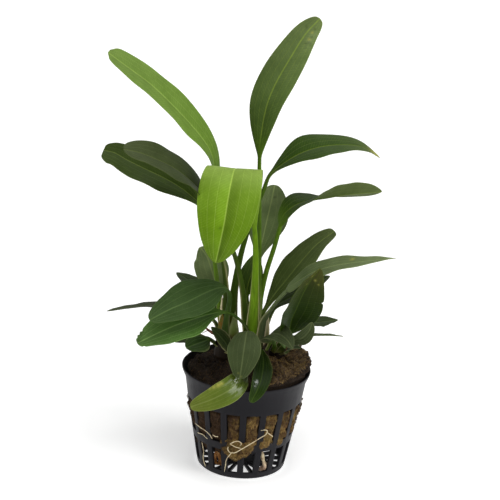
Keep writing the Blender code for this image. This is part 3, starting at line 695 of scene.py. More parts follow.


# The leaves' finishes. Colours: both faces, the grey-green of outer parts, which is painted sheen, the white room's
# reflection on them, as well as their own grey-green, the pale veins and the stalk. Then how strongly the long veins,
# the midrib, the fine oblique veins and the pale margin show, and how rough the skin is.
lookColors, lookShares = ("top", "under", "grey", "pale", "stalk"), ("veins", "rib", "cross", "edge", "gloss")
looks = {
    "fresh": ((90, 122, 32), (106, 134, 58), (114, 138, 70), (158, 182, 88), (92, 124, 30), 0.16, 0.5, 0.12, 0.3, 0.46),
    "bright": ((92, 126, 10), (108, 140, 36), (138, 158, 82), (166, 192, 84), (92, 124, 20), 0.26, 0.5, 0.1, 0.3, 0.4),
    "deep": ((40, 64, 2), (70, 88, 26), (84, 96, 58), (112, 130, 48), (66, 92, 18), 0.2, 0.5, 0.1, 0.4, 0.44),
    "greyed": ((44, 64, 14), (66, 80, 38), (86, 98, 62), (122, 134, 80), (64, 84, 24), 0.18, 0.45, 0.06, 0.4, 0.5),
    "dusky": ((43, 59, 8), (65, 79, 32), (74, 84, 50), (108, 122, 60), (58, 78, 18), 0.16, 0.45, 0.06, 0.35, 0.46),
    "moss": ((44, 68, 22), (72, 92, 44), (70, 92, 52), (106, 132, 74), (60, 86, 20), 0.26, 0.5, 0.06, 0.35, 0.42),
    "shaded": ((38, 52, 18), (58, 70, 36), (60, 72, 42), (92, 106, 62), (50, 68, 18), 0.16, 0.4, 0.05, 0.35, 0.46),
    "sage": ((52, 66, 28), (86, 98, 62), (86, 98, 64), (124, 136, 88), (66, 86, 28), 0.16, 0.4, 0.05, 0.6, 0.5),
    "pale": ((88, 112, 32), (120, 140, 64), (130, 140, 54), (164, 176, 100), (92, 112, 40), 0.2, 0.35, 0.06, 0.6, 0.36),
    "glossy": ((26, 46, 4), (60, 80, 26), (58, 84, 22), (92, 116, 48), (56, 80, 18), 0.14, 0.3, 0.05, 0.5, 0.32),
    "olive": ((36, 56, 6), (56, 70, 20), (84, 84, 36), (92, 114, 36), (58, 84, 20), 0.2, 0.35, 0.08, 0.35, 0.4),
}
for key, row in looks.items():
    looks[key] = dict(zip(lookColors + lookShares, [rgb(*c) for c in row[:5]] + list(row[5:])))
leafLook = dict(blightAndPaintedLight=rgb(150, 148, 70), foot=rgb(130, 134, 66), skin=rgb(108, 108, 58), cream=rgb(206, 198, 152),
                ripe=rgb(144, 92, 36), veinPlaces=((0.36, 1), (0.64, 0.8), (0.86, 0.4)),
                crossGap=1.25, shine=0.07)


def leafPaint(name, look):
    paint = Paint(name, Specular_IOR_Level=leafLook["shine"], Coat_Roughness=0.12)
    place = paint.place()
    over, wide, reach = paint.attribute("over"), paint.attribute("wide"), paint.attribute("reach")
    bladePart, top, mark = paint.attribute("blade"), paint.attribute("top"), paint.attribute("mark")
    side = abs(over)
    fromRib = side * wide
    # long veins that follow the margin, and fine oblique ones between them
    veins = 0
    for at, faint in leafLook["veinPlaces"]:
        veins = (1 - paint.step(abs(side - at) * wide, 0.02, 0.2)) * faint + veins
    cloud = paint.noise(6.0, place, detail=3)
    mottle = paint.noise(1.3, place, detail=4, rough=0.65)
    along = (reach - fromRib * 0.8 + mottle * 1.1) / leafLook["crossGap"]
    joined = (1 - paint.step(abs(along.fraction() - 0.5), 0.02, 0.24)) * paint.step(mottle + cloud, 0.75, 1.15)
    rib = 1 - paint.step(fromRib, 0.1, 0.42)
    color = paint.mix(top, look["under"], look["top"])
    # grey-green on outer parts: painted sheen, the white room's reflection, as well as their own colour
    color = paint.mix(paint.attribute("grey") * (0.7 + cloud * 0.5), color, look["grey"])
    color = paint.mix(joined * look["cross"], color, look["pale"])
    color = paint.mix(veins * look["veins"], color, look["pale"])
    color = paint.mix(rib * look["rib"], color, look["pale"])
    color = paint.mix((1 - paint.step((1 - side) * wide, 0.06, 0.34)) * look["edge"], color, look["pale"])
    streak = paint.noise(0.6, paint.place((1, 1, 0.1)), detail=2)
    stalk = paint.tone(paint.mix(paint.attribute("grey"), look["stalk"], look["grey"]), 0.55 + streak * 0.9)
    color = paint.mix(bladePart, stalk, color)
    # tone: the leaf's own brightness with painted light and shade in it
    color = paint.tone(color, (0.72 + cloud * 0.34 + mottle * 0.22) * paint.attribute("tone"))
    color = paint.mix(paint.step(reach + cloud * 3, 2.5, 8.0), leafLook["foot"], color)
    # the foot's thin margins are papery, and some feet ripen brown
    color = paint.mix(paint.attribute("ripe") * paint.step(cloud + streak * 0.3, 0.35, 0.7), color, leafLook["ripe"])
    skirt = paint.attribute("skirt")
    color = paint.mix(skirt * paint.step(side + streak * 0.3, 0.6, 0.95) * 0.6, color, leafLook["skin"])
    color = paint.mix(skirt * paint.step(side + streak * 0.1, 0.86, 0.99), color, leafLook["cream"])
    # marks: yellowed blight where positive and darker where negative; on the tallest leaf they paint light and shade
    # round its blisters
    color = paint.mix(mark.most(0.0).least(1.0), color, leafLook["blightAndPaintedLight"])
    color = paint.tone(color, 1 - (mark * -0.6).most(0.0).least(0.6))
    wet = paint.attribute("wet").least(1.0)
    paint.feed(Base_Color=color, Coat_Weight=wet,
               Roughness=look["gloss"] + (1 - top) * 0.12 + mottle * 0.14 - wet * 0.15)
    ridges = (veins * 0.08 + joined * 0.04) * (1 - top * 2) * bladePart
    paint.bump(ridges + mottle * (0.06 + wet * 0.22) + paint.noise(0.22, place, detail=1) * 0.008)
    return paint.material


lookMaterials = {key: leafPaint("leaf " + key, look) for key, look in looks.items()}

# What a leaf has unless its own entry says otherwise. foot, tip: how fast the blade narrows to its ends.
# arched, tone and grey run from the blade's foot to its tip. tone is the leaf's own brightness with painted light and
# shade in it, such as the darker hanging part of the folded-over leaf; grey is painted sheen, the white room's
# reflection on outer parts, as well as their own grey-green. strip: painted light and shade, the inner half beside
# the midrib lighter on one side and darker on the other, lean: painted light, lighter towards one margin. clasp,
# claspLong: how much wider the stalk's foot is and over what length. cream, creamLong: its papery skirt, and ripe:
# how brown it is.
# blisters, marks, wet: how far along, where across, size and strength. bites: how far along, which side,
# how deep and how long a share. pleats: how far along, how long a share, how deep and how far apart.
# holes: how far along, where across and size.
leafUsual = dict(slot="leaf_dark", widest=0.5, foot=1.15, tip=0.7, stout=1.0, groove=0.22, arched=(1, 1),
                 strip=0.0, lean=0.0, tone=(0.9, 1.0), grey=(0.0, 0.4), stalkTone=0.9, stalkGrey=0.0,
                 clasp=1.1, claspLong=9.0, cream=0.3, creamLong=14, ripe=0.0,
                 blisters=(), marks=(), wet=(), bites=(), pleats=(), holes=())
# stem: the stalk's points, blade: the points along the midrib to the tip. side: the direction across
# the blade at its foot, sideTip at its end where it twists. half: half the widest width. footSide: the
# direction across the stalk's foot.
leaves = {
    "leaf_upper_left": dict(
        crown="crown_left", turn=120, rise=62, stem=[(-12, 4, 66), (-14, 1, 80), (-16, 1, 92), (-17.5, 2, 108)],
        blade=[(-17.8, 2, 120), (-18.2, 2, 131), (-20.4, 2, 138.5), (-27, 2, 147), (-37, 0, 157.5),
               (-45.5, -2, 165.5), (-53.5, -4, 171.5), (-59, -6, 175.7), (-62.5, -8, 178.7)], half=8.9,
        widest=0.6, side=(0.2, 0.92, 0.31), fold=10, tip=0.24, bites=[(1.0, 1, 0.55, 0.035)], slot="leaf_light",
        look="fresh", arched=(1.5, 1.5), tone=(0.75, 0.9, 0.85), grey=(0, 0.3, 0.7), stout=1.25, claspLong=17,
        cream=0.9, ripe=1.0, footSide=(-0.9, 0.3, 0), creamLong=20, stalkTone=0.8),
    "leaf_folded_over": dict(
        crown="crown_right", turn=250, rise=60,
        stem=[(1.6, -6.5, 66), (1.6, -6.3, 77), (1.1, -5.6, 95), (0, -5, 107)],
        blade=[(-1.6, -4, 114), (-4.6, -4, 124), (-7.5, -7, 132.5), (-9.5, -12, 135.2), (-10.5, -17.2, 132.3),
               (-11.5, -21, 125), (-12.5, -22.3, 115), (-15, -21.5, 98)], half=12.4, widest=0.6,
        side=(-1, 0, 0.17), sideTip=(-1, 0, -0.16), fold=0, foot=0.8, tip=0.6, slot="leaf_light", look="bright",
        arched=(0, 0, 0, 2.6, 3.6, 3.2), stout=1.35, claspLong=26, tone=(1.0, 1.05, 1.05, 0.95, 0.72),
        grey=(0, 0.3, 0.8, 0.15, 0, 0.1), marks=[(0.8, 0.1, 0.6, -0.8)], strip=0.27, clasp=1.5, cream=0.9,
        groove=0.08, footSide=(-1, 0, 0), creamLong=27, stalkTone=1.05),
    "leaf_tallest": dict(
        crown="crown_right", turn=60, rise=66,
        stem=[(3.3, -0.5, 66), (3.1, 0.5, 76), (2.3, 2, 97), (1, 4, 118), (0.1, 7, 135)],
        blade=[(0.2, 9, 142.3), (0.9, 11, 151), (2.4, 12, 158.7), (5.2, 13, 166.3), (10.9, 14, 177.7),
               (15.9, 15, 186.7), (21.2, 15, 193.2)], foot=0.85, half=7.6, side=(0.7, -0.7, -0.2),
        sideTip=(0.95, 0, -0.3), fold=14, tip=0.38, look="deep", stout=1.2, tone=(1.0, 1.3, 1.5),
        grey=(0.1, 0.5, 0.9),
        # its marks paint light and shade round its blisters: lighter where positive, darker where negative
        marks=[(0.9, 0.42, 0.5, 0.8), (0.85, 0.48, 0.55, 0.8), (0.93, 0.42, 0.45, -0.7), (0.88, 0.62, 0.45, -0.7),
               (0.82, 0.4, 0.45, -0.6), (0.91, -0.4, 0.4, -0.6), (0.9, -0.25, 0.35, -0.5)],
        wet=[(0.84, 0.62, 1.9, 0.7), (0.9, 0.6, 1.5, 0.6)],
        blisters=[(0.8, 0.55, 0.6, 0.45), (0.84, 0.7, 0.55, 0.5), (0.88, 0.5, 0.6, 0.45),
                  (0.91, 0.65, 0.5, 0.45)], lean=0.15, claspLong=20, cream=0.5, creamLong=18, stalkTone=1.0),
    "leaf_arching_right": dict(
        crown="crown_left", turn=20, rise=64,
        stem=[(-7.3, 3.5, 66), (-7.0, 4, 78), (-5.4, 5.5, 92), (-2.8, 7, 104), (0, 9, 113), (2.8, 11, 121)],
        blade=[(4.3, 13, 125.4), (6.6, 15, 127.7), (10.8, 18, 130.8), (17.4, 22, 134.2), (26, 27, 136.2),
               (36, 32, 136.3), (44, 35, 135), (52, 37, 130.3)], half=9.8, widest=0.52, side=(0.38, -0.9, -0.2),
        fold=8, foot=2.2, look="deep", tone=(0.8, 0.95, 1.1), grey=(0, 0, 0.1, 0.7), marks=[(0.97, 0, 3.3, 1.0)],
        tip=0.6, stout=1.35, claspLong=20, cream=0.8, ripe=0.4, footSide=(-1, 0, 0), creamLong=26, stalkTone=0.8),
    "leaf_twisted_right": dict(
        crown="crown_right", turn=35, rise=50,
        stem=[(4.6, 0.5, 64), (4.0, 2, 74), (5.7, 5.5, 85.3), (8.7, 8, 97), (10.6, 9.8, 105.5)],
        blade=[(11.8, 11, 109.4), (14.2, 12, 112.4), (17.4, 14, 114.2), (24, 18, 115.5), (29.3, 20, 116),
               (37.3, 23, 117), (53.4, 28, 117.8)], half=8.0, side=(0.3, -0.85, -0.56),
        sideTip=(0.15, -0.47, 0.87), fold=19, foot=0.5, tip=0.65, look="deep", tone=(0.7, 0.8, 1.0),
        grey=(0, 0.2, 1.0), claspLong=16, cream=0.5, creamLong=12, stalkTone=1.15, stout=1.35),
    "leaf_behind_center": dict(
        crown="crown_right", turn=95, rise=52, stem=[(2, 3, 66), (2, 6, 75), (2, 11, 84)],
        blade=[(2.8, 16, 92), (4, 20, 98), (5.2, 26, 103.7), (6.4, 32, 109), (7.6, 38, 115)], half=9.0,
        widest=0.6, side=(0.95, -0.1, 0), fold=8, foot=1.6, tip=0.55, look="greyed", tone=(1.1, 1.25),
        grey=(0.4, 1.0), marks=[(0.85, 0.2, 0.7, -0.9)]),
    "leaf_back_low": dict(
        crown="crown_right", turn=140, rise=48, stem=[(0, 3, 66), (-1.5, 5.5, 74)],
        blade=[(-1.5, 7, 79), (0, 8.5, 85), (1, 11, 92)], half=4.9, side=(1, 0, 0), fold=12, look="deep",
        tone=(0.9, 1.0)),
    "leaf_left_front_high": dict(
        crown="crown_left", turn=200, rise=52,
        stem=[(-10.6, 0, 64), (-10.2, -1, 74), (-10.7, -2, 82), (-12, -3, 91), (-14.5, -5, 102),
              (-18, -7.5, 112)],
        blade=[(-21.9, -9.3, 122.5), (-27.3, -12, 129.3), (-34.6, -17, 135.9), (-41.4, -20, 139.7),
               (-47.3, -22, 142.2), (-53.7, -24, 143.8)], half=10.9, widest=0.52, side=(-0.3, 0.86, 0.36), fold=8,
        foot=0.72, tip=0.4, look="dusky", tone=(0.5, 0.6, 0.75), grey=(0.1, 0.6, 1.0), stout=1.25, claspLong=18,
        cream=0.9, ripe=0.3, footSide=(-1, 0.1, 0), creamLong=32, stalkTone=0.75),
    "leaf_left_back_high": dict(
        crown="crown_right", turn=180, rise=54,
        stem=[(-1.9, -1, 68), (-3.4, 0, 78), (-5.8, 1.4, 88), (-8.7, 2.2, 96), (-13.7, 3, 104.3),
              (-19.9, 4.5, 111)],
        blade=[(-24.7, 5.5, 115.2), (-31, 7, 119.7), (-38.7, 8.6, 123.4), (-46.6, 9.8, 126.4),
               (-55.2, 11.6, 129.6), (-60.4, 12.8, 131.9), (-65.2, 13.4, 132.6)], half=10.9, widest=0.56,
        side=(0.3, 0.9, 0.3), sideTip=(-0.02, 0.9, 0.42), fold=8, tip=0.26,
        bites=[(0.99, 1, 0.32, 0.12), (0.94, -1, -0.2, 0.07)], look="dusky", tone=(1.7, 1.5, 1.2),
        grey=(0, 0.1, 0.2), stout=1.25, claspLong=18, cream=0.8, footSide=(0.8, 0.5, 0), creamLong=24,
        stalkTone=1.0),
    "leaf_back_left": dict(
        crown="crown_left", turn=90, rise=45, stem=[(-10.5, 8, 64), (-12.5, 9.5, 71)],
        blade=[(-15.3, 12, 77.3), (-17.7, 15, 83), (-19.7, 19, 86.5), (-23.1, 23, 89.5)], half=7.2, widest=0.52,
        side=(0.9, 0.3, 0.35), fold=18, look="greyed", tone=(1.15, 1.3), grey=(0.8, 1.0), stalkTone=0.9),
    "leaf_left_broad": dict(
        crown="crown_left", turn=262, rise=24, stem=[(-9.8, -2.6, 60), (-9.3, -3.8, 70), (-8.7, -5.6, 78.5)],
        blade=[(-10.3, -7, 81.8), (-13.8, -9.4, 82.8), (-19, -13, 81.6), (-25.6, -18, 79.3), (-32.6, -23, 77.3),
               (-40.4, -28, 74)], half=9.5, side=(-0.5, 0.73, 0.45), fold=7, tip=0.5, look="moss",
        tone=(0.8, 0.85), grey=(0.3, 0.5), stout=1.45, foot=1.8, stalkTone=0.7, stalkGrey=0.3),
    "leaf_left_front_low": dict(
        crown="crown_right", turn=205, rise=40, stem=[(-0.6, -7.5, 64.5), (-3.9, -11, 70.1), (-8.2, -12.4, 73.3)],
        blade=[(-12, -12.9, 73.6), (-18, -14, 72.3), (-26, -18, 70.5), (-34, -22, 68), (-45.2, -26, 62.8)],
        half=9.3, widest=0.52, side=(-0.35, 0.8, 0.45), fold=8, tip=0.45, slot="leaf_light", look="moss",
        tone=(1.2, 2.0, 1.8), grey=(0, 0.1, 0.4), stout=0.85,
        bites=[(0.9, 1, 0.16, 0.012), (0.94, 1, 0.2, 0.01), (0.975, 1, 0.25, 0.008), (0.955, -1, 0.12, 0.01)],
        marks=[(0.93, 0.85, 1.2, -0.8), (0.98, 0.3, 1.4, -0.7)], stalkTone=0.65, claspLong=5, foot=1.6),
    "leaf_left_edge_on": dict(
        crown="crown_left", turn=135, rise=30, stem=[(-15, 8.5, 61.5), (-23, 9.5, 65)],
        blade=[(-32, 10, 66.2), (-40.5, 9, 66.6), (-51, 6.5, 66.1), (-60.5, 3, 65)], half=5.6, widest=0.45,
        side=(-0.1, 0.93, -0.15), fold=5, look="dusky", tone=(0.53, 0.67), grey=(0.6, 1.0)),
    "leaf_back_tip": dict(
        crown="crown_left", turn=105, rise=14, stem=[(-11, 11, 60), (-15, 15, 66)],
        blade=[(-20, 19, 69.7), (-26, 24, 72.6), (-33, 30, 74.8)], half=5.4, side=(0.7, 0.7, 0), fold=8,
        look="shaded"),
    "leaf_left_small": dict(
        crown="crown_left", turn=205, rise=10, stem=[(-16, -2.5, 57)],
        blade=[(-17.5, -4, 57.2), (-21, -7, 56.8), (-25.7, -10, 55.6)], half=4.9, widest=0.55,
        side=(-0.3, 0.8, 0.4), fold=6, tip=0.48, look="moss"),
    "leaf_left_small_back": dict(
        crown="crown_left", turn=170, rise=8, stem=[(-17, 4.2, 55)],
        blade=[(-20, 4.2, 54.7), (-25, 4, 54), (-31, 3, 52.8)], half=3.6, side=(0.1, 0.93, 0.15), fold=8,
        look="shaded"),
    "leaf_left_short": dict(
        crown="crown_left", turn=262, rise=8, stem=[(-7.6, -4.6, 53.6)],
        blade=[(-8.2, -6.4, 55.8), (-10.2, -7.2, 58.8), (-12.9, -7.8, 61.9), (-15.8, -8.2, 65.0)], half=3.2,
        side=(0.3, 0.8, 0.4), fold=10, look="shaded", tone=(0.7, 0.8), grey=(0, 0.2)),
    "leaf_front_oval": dict(
        crown="crown_right", turn=270, rise=34, stem=[(1.5, -11, 62)],
        blade=[(0.5, -13.5, 65.5), (-0.5, -17, 67.5), (-1, -21, 66.5), (-1.5, -26, 62.5), (-2, -29, 57),
               (-2.5, -31, 52)], half=6.9, widest=0.6, side=(-1, 0, -0.1), fold=-9, foot=1.9, tip=0.48,
        look="sage", tone=(0.63, 0.66, 0.6), grey=(0.4, 0.5, 0.3),
        marks=[(0.93, 0.25, 0.4, 0.2), (0.97, -0.2, 0.35, 0.2)]),
    "leaf_over_rim_left": dict(
        crown="crown_right", turn=262, rise=5, stem=[(1.5, -13, 53.5), (0, -19, 52.5)],
        blade=[(-1, -23, 51.5), (-2.8, -27.7, 49.6), (-6, -31, 47.1), (-10, -32.3, 44.7), (-15, -32.3, 41.9),
               (-22, -31, 38.2)], half=5.2, side=(-0.47, 0.5, 0.7), fold=5, tip=0.42, slot="leaf_light",
        look="pale", tone=(0.45, 0.68, 0.62), grey=(0, 0.2, 0.65), arched=(1.8, 1.8),
        wet=[(0.14, 0.3, 2.6, 1.0), (0.27, 0.2, 2.8, 1.0), (0.2, -0.4, 2.4, 1.0), (0.36, -0.2, 3.2, 0.9),
             (0.48, 0.1, 2.6, 0.5)], pleats=[(0.32, 0.22, 0.17, 2.1)],
        marks=[(0.5, 0.8, 0.8, 0.8), (0.56, 0.75, 0.9, 0.9), (0.62, 0.82, 0.8, 0.8), (0.68, 0.9, 0.6, 0.5)],
        stalkTone=0.6,
        blisters=[(0.13, 0.1, 0.5, 0.34), (0.17, 0.3, 0.5, 0.34), (0.2, 0.12, 0.5, 0.3), (0.22, 0.45, 0.45, 0.3),
                  (0.25, 0.25, 0.5, 0.34), (0.29, 0.4, 0.45, 0.3), (0.3, 0.1, 0.5, 0.3), (0.34, 0.3, 0.5, 0.3)]),
    "leaf_over_rim_right": dict(
        crown="crown_right", turn=300, rise=12, stem=[(5.8, -11.5, 57.3)],
        blade=[(6.2, -14.5, 57.6), (6.9, -20, 55.6), (6.6, -26, 52.4), (5.2, -30.5, 48), (2.6, -32.5, 42.5)],
        half=3.9, widest=0.56, side=(-0.95, -0.2, 0.2), fold=10, tip=0.45, look="glossy", tone=(0.38, 0.46, 0.75),
        grey=(0, 0, 0.3), arched=(1.6, 1.6), wet=[(0.7, 0.45, 1.1, 1.0), (0.79, 0.5, 0.9, 0.9)],
        blisters=[(0.66, 0.5, 0.4, 0.16), (0.7, 0.65, 0.4, 0.16), (0.74, 0.45, 0.4, 0.16),
                  (0.78, 0.6, 0.4, 0.16)]),
    "leaf_right_broad": dict(
        crown="crown_right", turn=5, rise=52, stem=[(5.4, -2, 63)],
        blade=[(5.4, -0.6, 68.6), (7.6, 2.8, 72.8), (10.8, 6.5, 77), (15.2, 10, 82.2), (20.6, 14, 88.8),
               (26.8, 18, 95.4), (34.2, 21, 101)], half=7.5, widest=0.6, tip=0.36, side=(0.35, -0.85, -0.4),
        fold=10, look="dusky", tone=(0.8, 1.0, 1.3), grey=(0, 0.3, 0.8), stout=1.3, claspLong=14, foot=2.6,
        stalkTone=0.8),
    "leaf_right_long": dict(
        crown="crown_right", turn=342, rise=42,
        stem=[(6.0, -6.5, 62), (6.3, -7, 69), (8.5, -7.5, 74), (11.3, -8, 78.6), (14.8, -8.5, 83.3)],
        blade=[(17.0, -8.8, 85.5), (23.8, -10, 91.8), (31.5, -12, 96), (39.5, -15, 99.1), (48.3, -18, 101.9),
               (57.5, -21, 104.6)], half=6.3, widest=0.4, tip=0.9, side=(-0.25, -0.85, -0.45),
        sideTip=(-0.2, -0.96, -0.05), fold=6, look="sage", tone=(1.0, 1.3, 1.5), grey=(0.1, 0.8, 1.0),
        marks=[(0.62, -0.5, 0.9, 0.9)], stout=1.3, claspLong=24, clasp=1.5, cream=0.9, footSide=(-0.9, -0.3, 0),
        creamLong=15, stalkTone=1.0, stalkGrey=0.9, foot=0.55),
    "leaf_right_boat": dict(
        crown="crown_side", turn=262, rise=34, stem=[(14.4, -4.6, 60.5)],
        blade=[(16.8, -8, 65.2), (17.5, -11, 71.4), (19.2, -14, 78), (21.4, -17.5, 86.1), (23.9, -20, 92.6),
               (27.2, -22, 98.6)], half=9.0, side=(0.82, 0.55, 0.1), sideTip=(0.77, 0.48, -0.4), fold=38,
        foot=1.25, tip=0.6, slot="leaf_light", look="olive", tone=(0.72, 0.7, 0.75), grey=(0, 0, 0, 0.2, 0.9),
        bites=[(0.62, 1, 0.12, 0.012)],
        marks=[(0.86, 0.3, 0.5, 0.7), (0.9, -0.3, 0.45, 0.7), (0.8, -0.2, 0.4, 0.5), (0.83, 0.6, 0.4, 0.5)]),
    "leaf_right_behind": dict(
        crown="crown_right", turn=50, rise=44, stem=[(7.4, 3, 62.5), (10.2, 9, 68)],
        blade=[(14.4, 13, 70.8), (21, 16, 73.5), (27.4, 19, 77.2), (33.7, 21, 80.6)], half=5.8,
        side=(0.35, -0.9, -0.2), fold=8, look="shaded"),
    "leaf_right_dark": dict(
        crown="crown_side", turn=20, rise=40, stem=[(18, 4.5, 59.8), (21.2, 6, 61.6)],
        blade=[(24.3, 7.5, 62.8), (27, 9, 63.1), (31, 11, 62.9), (38.1, 13, 63.7)], half=4.6,
        side=(0.3, -0.95, -0.12), fold=8, look="shaded"),
    "leaf_right_arch": dict(
        crown="crown_right", turn=332, rise=12, stem=[(9.2, -8, 59.5)],
        blade=[(8.2, -12, 63.4), (9.6, -14.8, 66.2), (12.4, -17.6, 67.4), (15.8, -20.2, 66.2),
               (18.6, -22.4, 63.2)], half=4.9, side=(-0.7, -0.5, -0.4), fold=10, tip=0.65, look="sage",
        tone=(0.42, 0.48), grey=(0.3, 0.6), holes=[(0.28, 0.45, 0.65), (0.42, 0.35, 0.75)]),
    "leaf_right_round": dict(
        crown="crown_side", turn=285, rise=14, stem=[(15.4, -5, 57.5), (17, -10.5, 60.2)],
        blade=[(19.5, -14, 63.9), (21.8, -16, 65.3), (23.9, -18, 68.2), (25.2, -20, 71.6), (25.7, -21.2, 74.8)],
        half=3.1, side=(0.8, -0.1, -0.5), fold=12, foot=0.8, tip=0.55, slot="leaf_light", look="sage",
        tone=(0.55, 0.75), grey=(0.5, 0.5)),
    "leaf_right_edge_on": dict(
        crown="crown_side", turn=345, rise=18, stem=[(18, 1.5, 57), (21, 1, 59.5)],
        blade=[(24, 0.5, 60.5), (29, -0.5, 61.5), (35, -1.5, 62.1), (40, -2.5, 62.3)], half=3.6, widest=0.45,
        side=(0, -0.95, 0.28), fold=4, look="greyed"),
    "leaf_over_wool": dict(
        crown="crown_side", turn=320, rise=0, stem=[(17, -1.6, 53.4)],
        blade=[(16.8, -3, 54.6), (18.6, -4.5, 56.2), (20.4, -6, 57.1), (22.3, -7.5, 57.5)], half=2.2,
        side=(-0.35, -0.9, 0), fold=6, look="shaded"),
}

# How a blade is shaped across: the places of its points from the midrib out, its thickness, the keel under
# the midrib, how far its margins ripple and its halves arch. crowd: how much closer its rows lie at the tip.
blade = dict(across=(0, 0.03, 0.07, 0.12, 0.19, 0.28, 0.38, 0.48, 0.58, 0.68, 0.77, 0.85, 0.92, 0.97, 1.0),
             rows=84, crowd=0.6, thick=0.17, keel=0.6, ripple=0.04, arch=0.1,
             stripAt=0.12, stripWide=0.25, stripFrom=(0.42, 0.66))
# A stalk: its half width at the foot, how much of it goes by the blade and by the tip, how far its clasping
# foot bends round, how deep it starts in the crown, and its rows: the fewest, and how far apart. turns: the
# shares of the stalk between which it turns to face the blade's way, opens: the blade's share over which
# it flattens out.
stalkShape = dict(half=1.05, taper=0.33, end=0.86, bend=0.07, deep=1.6, rows=8, gap=1.5, turns=(0.15, 0.95),
                  opens=0.22)


def spread(points, u, x, spots):
    # how near each point is to any of the spots: how far along, where across, size and strength
    near = np.zeros(points.shape[:2])
    for at, across, size, strength in spots:
        middle = points[np.argmin(np.abs(u - at)), np.argmin(np.abs(x - across))]
        near += strength * np.exp(-(np.linalg.norm(points - middle, axis=2) / size) ** 2)
    return near


def leafLine(leaf):
    # the leaf's rows: how far along the blade (u) and along the whole line, where the blade starts, the
    # line's length and points, and the directions across the leaf and up from it
    start = crownPoint(crowns[leaf["crown"]], leaf["turn"], leaf["rise"], -stalkShape["deep"])
    spine = [tuple(start)] + leaf["stem"] + leaf["blade"]
    _, knots, whole = smoothLine(spine, 2)
    foot = knots[len(leaf["stem"])]
    stalkRows = max(stalkShape["rows"], int(foot * whole / stalkShape["gap"]))
    t = np.linspace(0, 1, blade["rows"])
    u = np.concatenate([np.zeros(stalkRows), t * (1 + blade["crowd"] * (1 - t))])
    steps = np.concatenate([np.linspace(0, foot, stalkRows, endpoint=False), foot + (1 - foot) * u[stalkRows:]])
    line, _, _ = smoothLine(spine, steps)
    tangent = unit(np.gradient(line, axis=0))
    turned = (u**0.75)[:, None]
    sideBlade = unit(np.array(leaf["side"], float))
    sideTip = unit(np.array(leaf.get("sideTip", leaf["side"]), float))
    side = sideBlade * (1 - turned) + sideTip * turned
    # at the crown the stalk's foot lies round it, or faces the way that footSide says
    away = radians(leaf["turn"])
    sideFoot = unit(np.array(leaf.get("footSide", (-sin(away), cos(away), 0)), float))
    sideFoot *= 1 if sideFoot.dot(sideBlade) >= 0 else -1
    upright = smoothStep(steps / foot, *stalkShape["turns"])[:, None]
    side = sideFoot * (1 - upright) + side * upright
    side = unit(side - tangent * np.sum(side * tangent, 1, keepdims=True))
    return u, steps, foot, whole, line, side, np.cross(side, tangent)


def bladeHeight(leaf, uu, w, flat, above, acrossX, dice):
    # how high each point of the blade's two faces lies over its middle line
    height = sin(radians(leaf["fold"])) * w * (np.sqrt(flat**2 + 0.012) - 0.11)
    height += above * blade["thick"] * (1 - 0.45 * np.abs(flat)) * (1 - 0.3 * uu)
    height -= (above > 0) * leaf["groove"] * (1 - 0.6 * uu) * np.exp(-(acrossX / 0.42) ** 2)
    height -= (above < 0) * blade["keel"] * ((1 - uu).clip(0) ** 0.8 + 0.12) * np.exp(-(acrossX / 0.6) ** 2)
    height += blade["arch"] * alongBlade(uu, leaf["arched"]) * w * (np.abs(flat) - flat**2)
    phase, waves = dice.uniform(0, 6.28, 4), dice.uniform(1.6, 3.2, 4)
    swing = [np.sin(2 * pi * waves[k] * (1 + k // 2) * uu + phase[k]) for k in range(4)]
    swing = np.where(flat > 0, swing[0] + 0.4 * swing[2], swing[1] + 0.4 * swing[3])
    height += (blade["ripple"] * leaf["half"] * swing * np.abs(flat) ** 2.2
               * np.sin(pi * uu.clip(0, 1)) ** 0.5)
    return height


def alongBlade(uu, values):
    # values given from the blade's foot to its tip, for each row
    return np.interp(uu, np.linspace(0, 1, len(values)), values)


def leafFaces(rows, n, gone):
    # the skin round the leaf but for the cells that are gone, and the walls of the holes
    ring = 2 * n
    faces = []
    for i in range(rows - 1):
        for j in range(ring):
            k = (j + 1) % ring
            twin = j if j < n - 1 else ring - 2 - j  # the same place on the other face
            if 0 <= twin < n - 1 and (i, twin) in gone and j not in (n - 1, ring - 1):
                continue
            faces.append((i * ring + j, i * ring + k, (i + 1) * ring + k, (i + 1) * ring + j))
    for i, j in gone:
        # a hole's wall joins the upper face to the lower one
        for (a, b), (p, q) in ((((i, j), (i, j + 1)), (i - 1, j)), (((i + 1, j + 1), (i + 1, j)), (i + 1, j)),
                               (((i + 1, j), (i, j)), (i, j - 1)), (((i, j + 1), (i + 1, j + 1)), (i, j + 1))):
            if (p, q) not in gone:
                under = [(r, ring - 1 - c) for r, c in (a, b)]
                faces.append(tuple(r * ring + c for r, c in (a, b, under[1], under[0])))
    return faces + endFaces(rows, ring)


